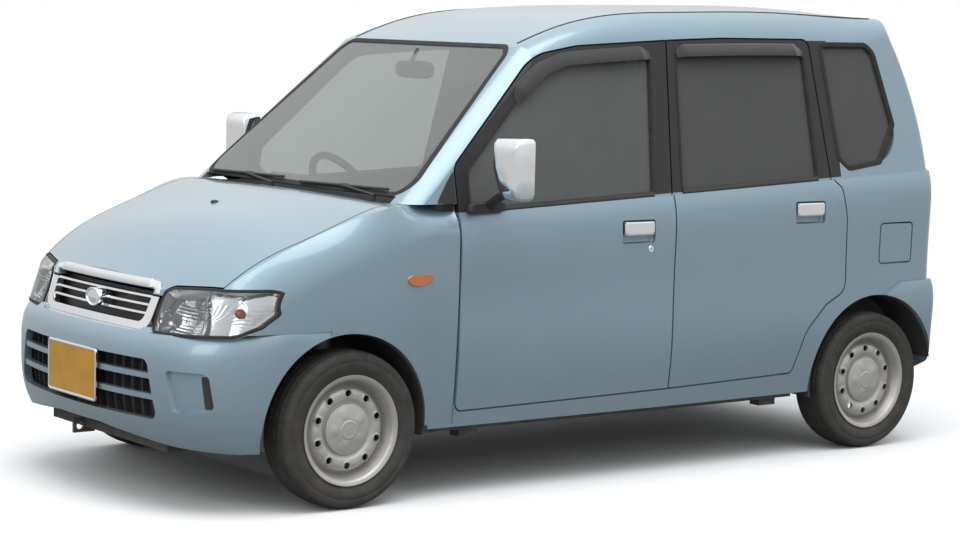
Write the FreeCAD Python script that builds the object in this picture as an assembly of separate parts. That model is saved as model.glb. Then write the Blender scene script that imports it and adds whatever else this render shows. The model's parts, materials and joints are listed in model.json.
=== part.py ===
"""A tall, boxy kei car with five doors, built from the panels and pieces that a body shop would handle.

Millimetres. X points forward, Y to the car's left and Z up. The origin is on the ground, midway along
the car. The steering wheel is on the right, as the car is made for driving on the left.
"""
import FreeCAD, Part
import math
import os

V = FreeCAD.Vector
os.makedirs("parts", exist_ok=True)

# Overall sizes
LENGTH = 3395.0
WIDTH = 1475.0
WHEELBASE = 2360.0
FRONT_OVERHANG = 635.0
FRONT_AXLE = LENGTH / 2 - FRONT_OVERHANG
REAR_AXLE = FRONT_AXLE - WHEELBASE

# Wheels and tyres
TRACK = 1290.0
TYRE_RADIUS = 260.0
RIM_RADIUS = 182.0
RIM_HOLES = 10
HUB_Z = TYRE_RADIUS
WHEEL_Y = TRACK / 2

# Gaps and walls
GAP = 6.0                # between a moving panel and its neighbour
DOOR_SKIN = 16.0         # the door's outer layer, which fills its opening
DOOR_DEPTH = 58.0        # the whole door, skin to inner trim
DOOR_STEP = 12.0         # the door's inner box is this much smaller all round
WALL = 40.0              # body walls, pillars and roof rails
POCKET = 12.0            # depth of the recesses behind the handles
FENDER_WALL = 26.0
ROOF_WALL = 24.0
BUMPER_WALL = 28.0
GLASS = 5.0
SEAT_GAP = 0.3           # where one fixed piece sits on another

# Body side surface
SIDE_BOW = 50000.0       # radius of the sides as seen from above
SIDE_MID = FRONT_AXLE - 1200.0
LEAN = 0.22              # how far the glasshouse leans in for each millimetre up
BELT_Z = 948.0           # window line at the front door's front edge
BELT_X = FRONT_AXLE - 405.0
BELT_TILT = 2.65         # degrees, the window line climbs towards the rear
GLASS_Y = 704.0          # half width of the glasshouse 52 mm above the window line's front end
GLASS_Y_AT = 1000.0

# Wheel arches, seen from the side
FRONT_ARCH = 315.0
REAR_ARCH = 325.0
ARCH_SHIFT = 14.0
ARCH_Z = 262.0
HOUSE_GAP = 16.0         # the inner arch lies this far above the arch's lip

# Stations along the car, measured forward from the front axle
DOOR_FRONT = -412.0
DOOR_MIDDLE = -1345.0
BONNET_REAR = -172.0
DOOR_SILL_Z = 302.0      # at the middle of the side; the sill line climbs to the rear
SILL_Z = 238.0
BODY_FOOT = 196.0
REAR_CORNER = 54.0       # corners of the tail, seen from above


def at(ahead):
    """X of a station that lies this far ahead of the front axle."""
    return FRONT_AXLE + ahead


# Stations and small sizes of single pieces
FENDER_FOOT = 250.0
PILLAR_FOOT = 984.0
SILL_FRONT = -308.0
COWL_EDGE = 612.0
FIREWALL = -212.0
FLOOR_Z = 236.0
LOAD_Z = 342.0
RAIL_TOP = 212.0
APRON_Y = 376.0
APRON_FRONT = 365.0
HOUSE_WALL = 5.0
HOUSE_FRONT = 345.0
HINGE_HEIGHTS = (430.0, 860.0)
STRUT_TOP = 700.0
KING_Y = 571.0
KING_LEAN = 0.21
PIN_R = 11.0
PIN_GAP = 1.0
STRUT_TOP_Y = KING_Y - KING_LEAN * (STRUT_TOP - HUB_Z)
TUB_Y = 536.0
JACK_Z = 190.0
JACK_Y = 620.0
DASH_HALF = 602.0
JACK_X = (-520, -1900)
HUB_FACE = 28.0
HOLE_R = 12.5
HOLE_RING = 119.0
INTAKE = [(-470, 304, 26), (-424, 494, 30), (424, 494, 30), (470, 304, 26)]
BUMPER_ARCH = [(-660, 100, 0), (-660, 204, 0), (-400, 231, 300), (-140, 255, 300),
               (140, 255, 300), (400, 231, 300), (660, 204, 0), (660, 100, 0)]
FOG = [(530, 334, 14), (504, 468, 14), (630, 466, 24), (642, 345, 24)]
FOG_DEPTH = 16.0
BAR = 18.0
BARS = (376.0, 442.0)
BAR_END = 474.0
BAR_INSET = 4.0
RIBS = 18
RIB_STEP = 49.0
PLATE_X = 634.0
PLATE_Y = 0.0
PLATE_HOLES = 210.0
PLATE_HOLE_Z = 466.0
PLATE_HOLE_R = 3.5
SLATS = (626.0, 653.0, 679.0)
SLAT = 7.0
SLAT_INSET = 8.0
BOSS_Z = 648.0
BOSS_Y = 44.0
BOSS_R = 28.5
LENS = 4.0
LAMP_DEPTH = 90.0
BOWLS = ((450, 448, 632, 36), (420, 560, 646, 60))     # station, y, z and radius
BONNET_STEP = 14.0
TOW_Y = -167.0
TOW_R = 14.0
TOW_X = 520.0
TOW_Z = 187.0
TOW_THICK = 12.0
WHEEL_SIDE = -330.0
STEER_R = 180.0
COLUMN = V(-math.cos(math.radians(32)), 0, math.sin(math.radians(32)))
COLUMN_TOP = V(at(-655), WHEEL_SIDE, 925)
WIPERS = ((-560, -60, -100), (60, 560, 520))


def side(x, z):
    return V(x, 0, z)


def face_on(y, z):
    return V(0, y, z)


def plan(x, y):
    return V(x, y, 0)


# Outlines of straight runs and round corners

def grow(corners, by):
    """Moves each run of a closed outline outward by a distance; corners are (u, v, radius)."""
    count = len(corners)
    area = sum(corners[i][0] * corners[(i + 1) % count][1] - corners[(i + 1) % count][0] * corners[i][1]
               for i in range(count))
    turn = 1.0 if area > 0 else -1.0
    grown = []
    for i in range(count):
        (au, av, _), (bu, bv, radius), (cu, cv, _) = corners[i - 1], corners[i], corners[(i + 1) % count]
        d1, d2 = math.hypot(bu - au, bv - av), math.hypot(cu - bu, cv - bv)
        n1 = (turn * (bv - av) / d1, -turn * (bu - au) / d1)
        n2 = (turn * (cv - bv) / d2, -turn * (cu - bu) / d2)
        scale = by / (1 + n1[0] * n2[0] + n1[1] * n2[1])
        bend = turn * ((bu - au) * (cv - bv) - (bv - av) * (cu - bu))
        grown.append((bu + (n1[0] + n2[0]) * scale, bv + (n1[1] + n2[1]) * scale,
                      max(0.0, radius + (by if bend > 0 else -by))))
    return grown


def outline(corners, place):
    """A closed wire of straight runs joined by arcs."""
    count = len(corners)
    ends = []
    for i in range(count):
        (au, av, _), (bu, bv, radius), (cu, cv, _) = corners[i - 1], corners[i], corners[(i + 1) % count]
        d1, d2 = math.hypot(au - bu, av - bv), math.hypot(cu - bu, cv - bv)
        u1, u2 = ((au - bu) / d1, (av - bv) / d1), ((cu - bu) / d2, (cv - bv) / d2)
        half = math.acos(max(-1.0, min(1.0, u1[0] * u2[0] + u1[1] * u2[1]))) / 2
        if radius < 0.5 or half > 1.569:
            ends.append((place(bu, bv), None, place(bu, bv)))
            continue
        back = min(radius / math.tan(half), 0.49 * d1, 0.49 * d2)
        radius = back * math.tan(half)
        mid = (u1[0] + u2[0], u1[1] + u2[1])
        length = math.hypot(*mid)
        reach = radius / math.sin(half) - radius
        ends.append((place(bu + u1[0] * back, bv + u1[1] * back),
                     place(bu + mid[0] / length * reach, bv + mid[1] / length * reach),
                     place(bu + u2[0] * back, bv + u2[1] * back)))
    edges = []
    for i in range(count):
        start, mid, end = ends[i]
        if mid is not None:
            edges.append(Part.Arc(start, mid, end).toShape())
        following = ends[(i + 1) % count][0]
        if end.distanceToPoint(following) > 1e-6:
            edges.append(Part.makeLine(end, following))
    return Part.Wire(edges)


def prism(corners, place, start, reach):
    """The outline pushed from start by reach, both vectors."""
    wire = outline(corners, place)
    wire.translate(start)
    return Part.Face(wire).extrude(reach)


def side_prism(corners, inner_y=330.0, outer_y=900.0):
    """An outline seen from the left, pushed through the left side of the body."""
    return prism(corners, side, V(0, inner_y, 0), V(0, outer_y - inner_y, 0))


def box(x0, x1, y0, y1, z0, z1):
    return Part.makeBox(x1 - x0, y1 - y0, z1 - z0, V(x0, y0, z0))


def block(x0, x1, y0, y1, z0, z1, radius=0.0):
    """A box with all its edges rounded."""
    solid = box(x0, x1, y0, y1, z0, z1)
    if radius > 0:
        solid = solid.makeFillet(radius, solid.Edges)
    return solid


def rod(p, q, radius):
    return Part.makeCylinder(radius, (q - p).Length, p, q - p)


def other_side(shape):
    """The same piece on the car's right."""
    return shape.mirror(V(0, 0, 0), V(0, 1, 0))


def both(shape):
    return Part.makeCompound([shape, other_side(shape)])


def joined(shapes):
    result = shapes[0]
    if len(shapes) > 1:
        result = result.multiFuse(shapes[1:])
    return result.removeSplitter()


def save(name, shape):
    solids = [s for s in shape.Solids if s.Volume > 200.0]
    saved = solids[0] if len(solids) == 1 else Part.makeCompound(solids)
    saved.exportStep("parts/" + name + ".step")
    print(name, len(solids), round(saved.Volume / 1e6, 3), all(s.isValid() for s in solids))


# Body surfaces

def bow(x):
    """How far the side has drawn in at x, because it is bowed along its length."""
    return (x - SIDE_MID) ** 2 / (2 * SIDE_BOW)


def circles_meet(c1, r1, c2, r2, forward):
    """The point at r1 from c1 and r2 from c2 that lies furthest forward, or furthest back."""
    dx, dy = c2[0] - c1[0], c2[1] - c1[1]
    d = math.hypot(dx, dy)
    along = (r1 ** 2 - r2 ** 2 + d ** 2) / (2 * d)
    across = math.sqrt(r1 ** 2 - along ** 2)
    found = [(c1[0] + (along * dx + s * across * dy) / d, c1[1] + (along * dy - s * across * dx) / d)
             for s in (1, -1)]
    return max(found) if forward else min(found)


def ring(z, front, rear, half, front_bow, front_corner, rear_bow, rear_corner, inset=0.0, tilt=0.0):
    """A level outline of the body: eight arcs, each running smoothly into the next."""
    front, rear, half = front - inset, rear + inset, half - inset
    front_corner, rear_corner = front_corner - inset * 0.5, rear_corner - inset * 0.5
    flank = (SIDE_MID, half - SIDE_BOW)
    ends = []
    tips = ((front, front_bow, front_corner, True), (rear, rear_bow, rear_corner, False))
    for tip, curve, corner, forward in tips:
        nose = (tip - curve if forward else tip + curve, 0.0)
        c = circles_meet(nose, curve - corner, flank, SIDE_BOW - corner, forward)
        on_nose = tuple(nose[i] + (c[i] - nose[i]) * curve / (curve - corner) for i in (0, 1))
        on_flank = tuple(flank[i] + (c[i] - flank[i]) * SIDE_BOW / (SIDE_BOW - corner) for i in (0, 1))
        mid = [on_nose[i] + on_flank[i] - 2 * c[i] for i in (0, 1)]
        size = math.hypot(*mid)
        ends.append((on_nose, tuple(c[i] + mid[i] / size * corner for i in (0, 1)), on_flank))
    (fn, fm, fs), (rn, rm, rs) = ends
    side_x = (fs[0] + rs[0]) / 2
    side_y = half - SIDE_BOW + math.sqrt(SIDE_BOW ** 2 - (side_x - SIDE_MID) ** 2)

    def arc(a, b, c):
        return Part.Arc(V(a[0], a[1], z), V(b[0], b[1], z), V(c[0], c[1], z)).toShape()

    def flip(p):
        return (p[0], -p[1])

    edges = [arc(flip(fn), (front, 0), fn), arc(fn, fm, fs), arc(fs, (side_x, side_y), rs), arc(rs, rm, rn),
             arc(rn, (rear, 0), flip(rn)), arc(flip(rn), flip(rm), flip(rs)),
             arc(flip(rs), (side_x, -side_y), flip(fs)), arc(flip(fs), flip(fm), flip(fn))]
    wire = Part.Wire(edges)
    if tilt:
        wire.rotate(V(BELT_X, 0, z), V(0, 1, 0), tilt)
    return wire


def ring_loft(rows, inset=0.0, ruled=False):
    """A solid through level outlines; rows are ring's arguments as dictionaries."""
    return Part.makeLoft([ring(inset=inset, **row) for row in rows], True, ruled)


def tangent_arc(p, heading, q):
    """The arc that leaves p along heading and ends at q."""
    heading = V(heading).normalize()
    chord = q - p
    normal = chord - heading * chord.dot(heading)
    normal.normalize()
    radius = chord.dot(chord) / (2 * chord.dot(normal))
    centre = p + normal * radius
    middle = (p - centre) + (q - centre)
    middle.normalize()
    return Part.Arc(p, centre + middle * radius, q).toShape()


def hoop(x, foot_y, foot_z, side_y, side_z, edge_y, edge_z, top_z, belly=0.0, inset=0.0):
    """An upright outline across the body: sides, shoulders and a crowned top."""
    foot_y, side_y, edge_y = foot_y - inset, side_y - inset, edge_y - inset
    edge_z, top_z = edge_z - inset, top_z - inset
    side_z = side_z - inset * 0.5
    foot, shoulder, edge = V(x, foot_y, foot_z), V(x, side_y, side_z), V(x, edge_y, edge_z)
    if belly:
        middle = V(x, (foot_y + side_y) / 2 + belly, (foot_z + side_z) / 2)
        lower = Part.Arc(foot, middle, shoulder).toShape()
        heading = V(0, 0, 1)
    else:
        lower = Part.makeLine(foot, shoulder)
        heading = shoulder - foot
    upper = tangent_arc(shoulder, heading, edge)
    crown = Part.Arc(edge, V(x, 0, top_z), V(x, -edge_y, edge_z)).toShape()
    mirrored = [other_side(e) for e in (upper, lower)]
    base = Part.makeLine(V(x, -foot_y, foot_z), foot)
    return Part.Wire([base, lower, upper, crown] + mirrored)


def lower_body(inset=0.0):
    """Doors, sills and rear quarters up to the window line."""
    columns = ("z", "rear", "half", "tilt")
    table = [(BODY_FOOT, -2712, 711, 0), (320, -2720, 722, 0), (560, -2732, 734.5, 0),
             (790, -2738, 737.5, BELT_TILT), (900, -2739, 731, BELT_TILT), (BELT_Z, -2737, 716, BELT_TILT)]
    rows = []
    for values in table:
        row = dict(zip(columns, values))
        row.update(rear=at(row["rear"]), front=at(300), front_bow=4000.0, front_corner=120.0,
                   rear_bow=5000.0, rear_corner=REAR_CORNER)
        rows.append(row)
    return ring_loft(rows, inset)


def glasshouse_sides(inset=0.0):
    """Window side, roof rail and roof as one arch, from the windscreen to the tail."""
    columns = ("ahead", "rail_z", "edge_y", "edge_z", "crown")
    table = [(-20, 1040, 596, 1120, 6), (-380, 1230, 548, 1318, 8), (-600, 1345, 524, 1425, 10),
             (-800, 1440, 505, 1512, 12), (-1000, 1500, 500, 1580, 14), (-1200, 1522, 500, 1616, 18),
             (-1500, 1528, 500, 1632, 20), (-2000, 1536, 500, 1640, 22), (-2400, 1530, 494, 1630, 21),
             (-2760, 1500, 478, 1592, 18)]
    hoops = []
    for values in table:
        row = dict(zip(columns, values))
        x = at(row["ahead"])
        foot_z = 880.0

        def y(z):
            return GLASS_Y - LEAN * (z - GLASS_Y_AT) - bow(x)

        hoops.append(hoop(x, y(foot_z), foot_z, y(row["rail_z"]), row["rail_z"], row["edge_y"], row["edge_z"],
                          row["edge_z"] + row["crown"], inset=inset))
    return Part.makeLoft(hoops, True, False)


def glasshouse_ends(inset=0.0):
    """The windscreen's and the tail's slopes with their round corners."""
    columns = ("z", "front", "rear")
    table = [(870, -54, -2737), (1100, -310, -2738), (1250, -477, -2716), (1560, -822, -2606),
             (1720, -1000, -2520)]
    rows = []
    for values in table:
        row = dict(zip(columns, values))
        z = row["z"]
        row.update(front=at(row["front"]), rear=at(row["rear"]), half=GLASS_Y - LEAN * (z - GLASS_Y_AT) + 1.5,
                   front_bow=9000.0, front_corner=95.0, rear_bow=5000.0, rear_corner=REAR_CORNER)
        rows.append(row)
    return ring_loft(rows, inset)


def nose(inset=0.0):
    """Front wings and bonnet as one arch, from the doors to the lamps."""
    columns = ("ahead", "half", "shoulder_z", "edge_y", "edge_z", "top_z")
    table = [(-440, 737, 846, 700, 986, 999), (-190, 737, 832, 690, 982, 992), (0, 736, 772, 668, 932, 962),
             (168, 731, 704, 656, 869, 927), (300, 724, 640, 645, 808, 880), (400, 714, 590, 618, 745, 820),
             (500, 700, 540, 580, 668, 748), (620, 684, 490, 530, 585, 655)]
    hoops = []
    for values in table:
        row = dict(zip(columns, values))
        x = at(row["ahead"])
        wide = row["half"] - bow(x)
        hoops.append(hoop(x, wide - 30, 196.0, wide, row["shoulder_z"], row["edge_y"], row["edge_z"],
                          row["top_z"], belly=11.0, inset=inset))
    return Part.makeLoft(hoops, True, False)


def nose_end(inset=0.0):
    """The upright front of lamps and grille, leaning back and rounded at its corners."""
    columns = ("z", "front", "half")
    table = [(190, 592, 742), (570, 573, 742), (720, 521, 742), (1040, 376, 742)]
    rows = []
    for values in table:
        row = dict(zip(columns, values))
        row.update(front=at(row["front"]), rear=at(-700), front_bow=4200.0, front_corner=290.0,
                   rear_bow=5000.0, rear_corner=100.0)
        rows.append(row)
    return ring_loft(rows, inset, ruled=True)


def front_bumper_body(inset=0.0):
    columns = ("z", "front", "half", "corner")
    table = [(205, 588, 712, 320), (262, 616, 724, 325), (350, 633, 734, 330), (470, 635, 736, 330),
             (545, 622, 735, 335), (588, 586, 729, 340)]
    rows = []
    for values in table:
        row = dict(zip(columns, values))
        corner = row.pop("corner")
        row.update(front=at(row["front"]), rear=at(-300), front_bow=2200.0, front_corner=corner,
                   rear_bow=5000.0, rear_corner=100.0)
        rows.append(row)
    return ring_loft(rows, inset)


def rear_bumper_body(inset=0.0):
    columns = ("z", "rear", "half")
    table = [(250, -2734, 732), (330, -2755, 746), (480, -2760, 753), (590, -2760, 753), (640, -2748, 742)]
    rows = []
    for values in table:
        row = dict(zip(columns, values))
        row.update(front=at(-1900), rear=at(row["rear"]), front_bow=4000.0, front_corner=100.0,
                   rear_bow=4200.0, rear_corner=44.0)
        rows.append(row)
    return ring_loft(rows, inset)


# Outlines on the body, seen from the left: x, z and corner radius, at the middle of each gap

def belt(ahead):
    """Height of the window line at a station."""
    return BELT_Z + (BELT_X - at(ahead)) * math.tan(math.radians(BELT_TILT))


FRAME_TOP = 1532.0
SHUT_LEAN = 52.0         # the line between the doors leans back this much over the windows' height
FRONT_DOOR = [(at(DOOR_FRONT), DOOR_SILL_Z - 12, 26), (at(DOOR_FRONT), 1106, 60), (at(-793), 1474, 220),
              (at(-985), 1508, 300), (at(DOOR_MIDDLE - SHUT_LEAN), FRAME_TOP, 6), (at(DOOR_MIDDLE), 975, 60),
              (at(DOOR_MIDDLE), DOOR_SILL_Z, 6)]
REAR_DOOR = [(at(DOOR_MIDDLE), DOOR_SILL_Z, 6), (at(DOOR_MIDDLE), 975, 60),
             (at(DOOR_MIDDLE - SHUT_LEAN), FRAME_TOP, 6), (at(-1660), FRAME_TOP + 11, 500),
             (at(-2104), FRAME_TOP + 12, 34), (at(-2144), 1024, 26), (at(-2176), 1000, 30),
             (at(-2200), 880, 90), (at(-2208), 612, 60), (at(-2110), 565, 70), (at(-2010), 470, 120),
             (at(-1948), DOOR_SILL_Z + 14, 24)]
FRONT_WINDOW = [(at(-462), belt(-462) + 12, 22), (at(-466), 1092, 24), (at(-822), 1436, 180),
                (at(-985), 1463, 300), (at(-1314), 1482, 12), (at(-1262), belt(-1262) + 12, 12)]
REAR_WINDOW = [(at(-1398), belt(-1398) + 12, 14), (at(-1436), 1482, 14), (at(-2070), 1494, 22),
               (at(-2074), belt(-2074) + 10, 20)]
QUARTER_WINDOW = [(at(-2204), 1062, 50), (at(-2166), 1525, 14), (at(-2440), 1526, 50), (at(-2543), 1104, 118)]
FUEL_LID = [(at(-2384), 706, 16), (at(-2384), 858, 16), (at(-2560), 858, 16), (at(-2560), 706, 16)]
BONNET = [(at(BONNET_REAR), 645, 20), (at(150), 648, 500), (at(425), 604, 10), (at(700), 604, 4)]
BONNET = BONNET + [(x, -y, r) for x, y, r in reversed(BONNET)]
TAILGATE = [(-586, 654, 30), (-596, 1010, 200), (-500, 1568, 60),
            (500, 1568, 60), (596, 1010, 200), (586, 654, 30)]
REAR_GLASS = [(-520, 1066, 60), (-452, 1500, 70), (452, 1500, 70), (520, 1066, 60)]


def arch_cut(axle, radius, shift, inner_y=380.0):
    return Part.makeCylinder(radius, 900 - inner_y, V(axle + shift, inner_y, ARCH_Z), V(0, 1, 0))


# Shared solids

def above_belt(solid):
    """The part of a solid over the plane of the window line."""
    low = box(-2500, 2500, -1000, 1000, -1500, BELT_Z)
    low.rotate(V(BELT_X, 0, BELT_Z), V(0, 1, 0), BELT_TILT)
    return solid.cut(low)


def whole_body(inset=0.0):
    """Lower body and glasshouse as one solid, drawn in by inset."""
    upper = above_belt(glasshouse_sides(inset).common(glasshouse_ends(inset)))
    return lower_body(inset).fuse(upper).removeSplitter()


def whole_nose(inset=0.0):
    return nose(inset).common(nose_end(inset))


SEAL_DEPTH = DOOR_SKIN + 12.0    # the opening's inner flange starts this far in
SEAL_LIP = 8.0                   # and reaches this far into the opening
PLATE_BACK = 5.0                 # hinge plates stop this far behind the middle of the gap
POST_DEPTH = FENDER_WALL + GAP   # the front pillar's foot stands this far inside the fender
BODY = {depth: whole_body(depth)
        for depth in (0.0, DOOR_SKIN, ROOF_WALL, SEAL_DEPTH, POST_DEPTH, WALL, DOOR_DEPTH)}
INSIDE = whole_body(WALL + SEAT_GAP)
SEAL_FACE = whole_body(SEAL_DEPTH - SEAT_GAP)
NOSE_SKIN = 8.0
NOSE = {depth: whole_nose(depth) for depth in (0.0, NOSE_SKIN, FENDER_WALL)}
GLASS_DEPTH = 10.0
GLASS_OUT = whole_body(GLASS_DEPTH)
GLASS_IN = whole_body(GLASS_DEPTH + GLASS)
SCREEN_IN = whole_body(2.0 + GLASS)
SCREEN_OUT = whole_body(2.0)


def layer(solids, outer, inner, region):
    """What lies between two depths of the body inside a region."""
    return region.common(solids[outer]).cut(solids[inner])


def opening(corners, place_prism):
    """What a door takes out of the body: the skin's hole, and a smaller hole inside its seal."""
    return [place_prism(grow(corners, GAP / 2)).cut(BODY[SEAL_DEPTH]), place_prism(grow(corners, -SEAL_LIP))]


def hinge_plates(corners, boxes, place_prism):
    """Blocks behind a panel's hinged edge, which bear on the flange round its opening."""
    region = Part.makeCompound(boxes).common(place_prism(grow(corners, -PLATE_BACK)))
    return region.common(BODY[DOOR_SKIN]).cut(SEAL_FACE)


def door_panel(corners, window, place_prism, boxes):
    """A door: skin, box with its window frame, plates at its hinges and a hole for the glass."""
    hole = place_prism(window)
    skin = layer(BODY, 0.0, DOOR_SKIN, place_prism(grow(corners, -GAP / 2)).cut(hole))
    inner = layer(BODY, DOOR_SKIN, DOOR_DEPTH, place_prism(grow(corners, -SEAL_LIP - DOOR_STEP)).cut(hole))
    return skin.fuse([inner] + hinge_plates(corners, boxes, place_prism).Solids).removeSplitter()


def pane(window, place_prism):
    return place_prism(grow(window, -SEAT_GAP)).common(GLASS_OUT).cut(GLASS_IN)


def tail_prism(corners):
    """An outline seen from behind, pushed through the tail."""
    return prism(corners, face_on, V(at(-2900), 0, 0), V(700, 0, 0))


def screen_prism(corners):
    return prism(corners, face_on, V(at(-1300), 0, 0), V(1500, 0, 0))


def front_prism(corners, start=150.0, reach=700.0):
    return prism(corners, face_on, V(at(start), 0, 0), V(reach, 0, 0))


def plan_prism(corners, low=380.0, high=1100.0):
    return prism(corners, plan, V(0, 0, low), V(0, 0, high - low))


SCREEN_TOP = 1504.0
SCREEN_BASE = 1006.0
SCREEN = [(-650, SCREEN_BASE, 46), (-502, SCREEN_TOP, 50), (502, SCREEN_TOP, 50), (650, SCREEN_BASE, 46)]
ROOF_EDGE = 497.0
TAIL_HEADER = 1571.5


def roof_region(extra=0.0):
    """Where the roof panel lies: over the windscreen's top edge, and at the rear over the tailgate."""
    edge = ROOF_EDGE + extra
    main = box(at(-2430), at(-600), -edge, edge, SCREEN_TOP + SEAT_GAP - extra, 1800)
    return main.fuse(box(at(-2800), at(-2400), -edge, edge, TAIL_HEADER - extra, 1800)).removeSplitter()


SWAGE = [(at(-226), 626, 24), (at(-226), 566, 24), (at(-2412), 619, 22), (at(-2412), 671, 22)]
SWAGE_TURN = 5.6         # degrees between the groove's floor and the side, deepest at its upper edge
LAMP = [(388, 573, 14), (379, 640, 80), (391, 717, 34), (560, 727, 300), (700, 729, 14), (705, 650, 80),
        (694, 581, 36)]
GRILLE_TOP = 686.0
GRILLE = [(-358, 575, 48), (-369, GRILLE_TOP, 2), (369, GRILLE_TOP, 2), (358, 575, 48)]
GRILLE_HOLE = [(-316, 599, 30), (-330, 706, 3), (330, 706, 3), (316, 599, 30)]
TAIL_LAMP = [(at(-2566), 1502, 8), (at(-2800), 1502, 8), (at(-2800), 936, 8), (at(-2652), 936, 20),
             (at(-2674), 1100, 300), (at(-2642), 1330, 300)]
LAMP_STRIP = [(612, 930, 0), (800, 930, 0), (800, 1510, 0), (524, 1510, 0)]
BUMPER_TOP = 588.0
REAR_BUMPER_TOP = 640.0
REAR_BUMPER = [(at(-2424), 0, 0), (at(-2424), 586, 0), (at(-2464), 611, 30), (at(-2510), 631, 60),
               (at(-2900), REAR_BUMPER_TOP, 0), (at(-2900), 0, 0)]


def turned_out(solid):
    """A solid leaning in a little over the lower edge of the groove along the side."""
    low, rise = SWAGE[1], SWAGE[2][1] - SWAGE[1][1]
    leaning = solid.copy()
    leaning.rotate(V(low[0], WIDTH / 2, low[1]), V(SWAGE[2][0] - low[0], 0, rise), SWAGE_TURN)
    return leaning


def swage_cut():
    """The groove along the doors: crisp at its upper edge, fading into the side below."""
    groove = side_prism(SWAGE, 600.0)
    front = groove.common(box(at(-500), at(0), 600, 900, 500, 800))
    return [groove.cut(turned_out(BODY[0.0])), front.cut(turned_out(NOSE[0.0]))]


def lamp_region(extra=0.0):
    """Where the left tail lamp lies: an outline from the side and one from behind."""
    return side_prism(grow(TAIL_LAMP, extra), 400.0).common(tail_prism(grow(LAMP_STRIP, extra)))


GROOVES = swage_cut()
REAR_ARCH_CUT = arch_cut(REAR_AXLE, REAR_ARCH, -ARCH_SHIFT)
FRONT_ARCH_CUT = arch_cut(FRONT_AXLE, FRONT_ARCH, ARCH_SHIFT)
TAILGATE_CUTS = opening(TAILGATE, tail_prism)


def make_body_side():
    """Sill, pillars, roof rail and rear quarter of the left side in one pressing."""
    wall = layer(BODY, 0.0, WALL, box(-2500, 2500, 0, 900, 0, 2500))
    cuts = opening(FRONT_DOOR, side_prism) + opening(REAR_DOOR, side_prism) + TAILGATE_CUTS
    cuts.append(side_prism(QUARTER_WINDOW))
    cuts.append(screen_prism(SCREEN))
    cuts.append(roof_region(SEAT_GAP))
    cuts.append(REAR_ARCH_CUT)
    cuts.append(GROOVES[0])
    cuts.append(side_prism(grow(FUEL_LID, GAP / 2), 690.0).cut(BODY[SEAL_DEPTH]))
    cuts.append(box(at(DOOR_FRONT) + GAP / 2, at(900), 0, 900, FENDER_FOOT, PILLAR_FOOT))
    cuts.append(box(at(SILL_FRONT), at(900), 0, 900, 0, PILLAR_FOOT))
    cuts.append(box(at(DOOR_FRONT), at(0), 0, COWL_EDGE, 0, SCREEN_BASE))
    cuts.append(side_prism(grow(REAR_BUMPER, SEAT_GAP), 0.0))
    cuts.append(lamp_region(SEAT_GAP).cut(BODY[DOOR_SKIN]))
    cuts.append(box(at(-2900), at(-2500), 0, 560, 0, 654))
    cuts.append(box(at(-2500), at(900), 0, 900, 0, SILL_Z))
    side_wall = wall.cut(cuts)
    foot = box(at(DOOR_FRONT) + GAP / 2, at(FIREWALL) + 12, 645, 900, 262, 984)
    post = layer(BODY, POST_DEPTH, DOOR_DEPTH, foot)
    post = post.common(whole_nose(POST_DEPTH)).cut(front_house(HOUSE_GAP))
    return side_wall.fuse(post).removeSplitter()


def front_house(extra):
    """Cylinder of the left front wheel's housing."""
    centre = V(FRONT_AXLE + ARCH_SHIFT, APRON_Y, ARCH_Z)
    return Part.makeCylinder(FRONT_ARCH + HOUSE_GAP / 2 + extra, 400, centre, V(0, 1, 0))


def make_fender():
    region = box(at(DOOR_FRONT) + GAP / 2, at(700), 380, 900, FENDER_FOOT + SEAT_GAP, 1200)
    wall = layer(NOSE, 0.0, FENDER_WALL, region)
    cuts = [plan_prism(grow(BONNET, GAP / 2)), FRONT_ARCH_CUT, GROOVES[1]]
    cuts.append(box(at(84) - SEAT_GAP, at(900), 0, 900, 0, BUMPER_TOP + SEAT_GAP))
    cuts.append(box(at(-900), at(-176), 0, 900, PILLAR_FOOT - SEAT_GAP, 1200))
    cuts.append(front_prism(grow(LAMP, SEAT_GAP)))
    cuts.append(box(at(-900), at(BONNET_REAR) + GAP / 2, 0, COWL_EDGE + SEAT_GAP, 0, 1200))
    return wall.cut(cuts)


def make_roof():
    return layer(BODY, 0.0, ROOF_WALL, roof_region()).cut(TAILGATE_CUTS)


def make_cowl():
    """The black cover between the bonnet and the windscreen."""
    region = box(at(-262), at(BONNET_REAR) - GAP / 2, -COWL_EDGE, COWL_EDGE, 900, 1100)
    return region.common(whole_nose(1.0)).cut([whole_nose(NOSE_SKIN * 3), BODY[0.0]])


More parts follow.
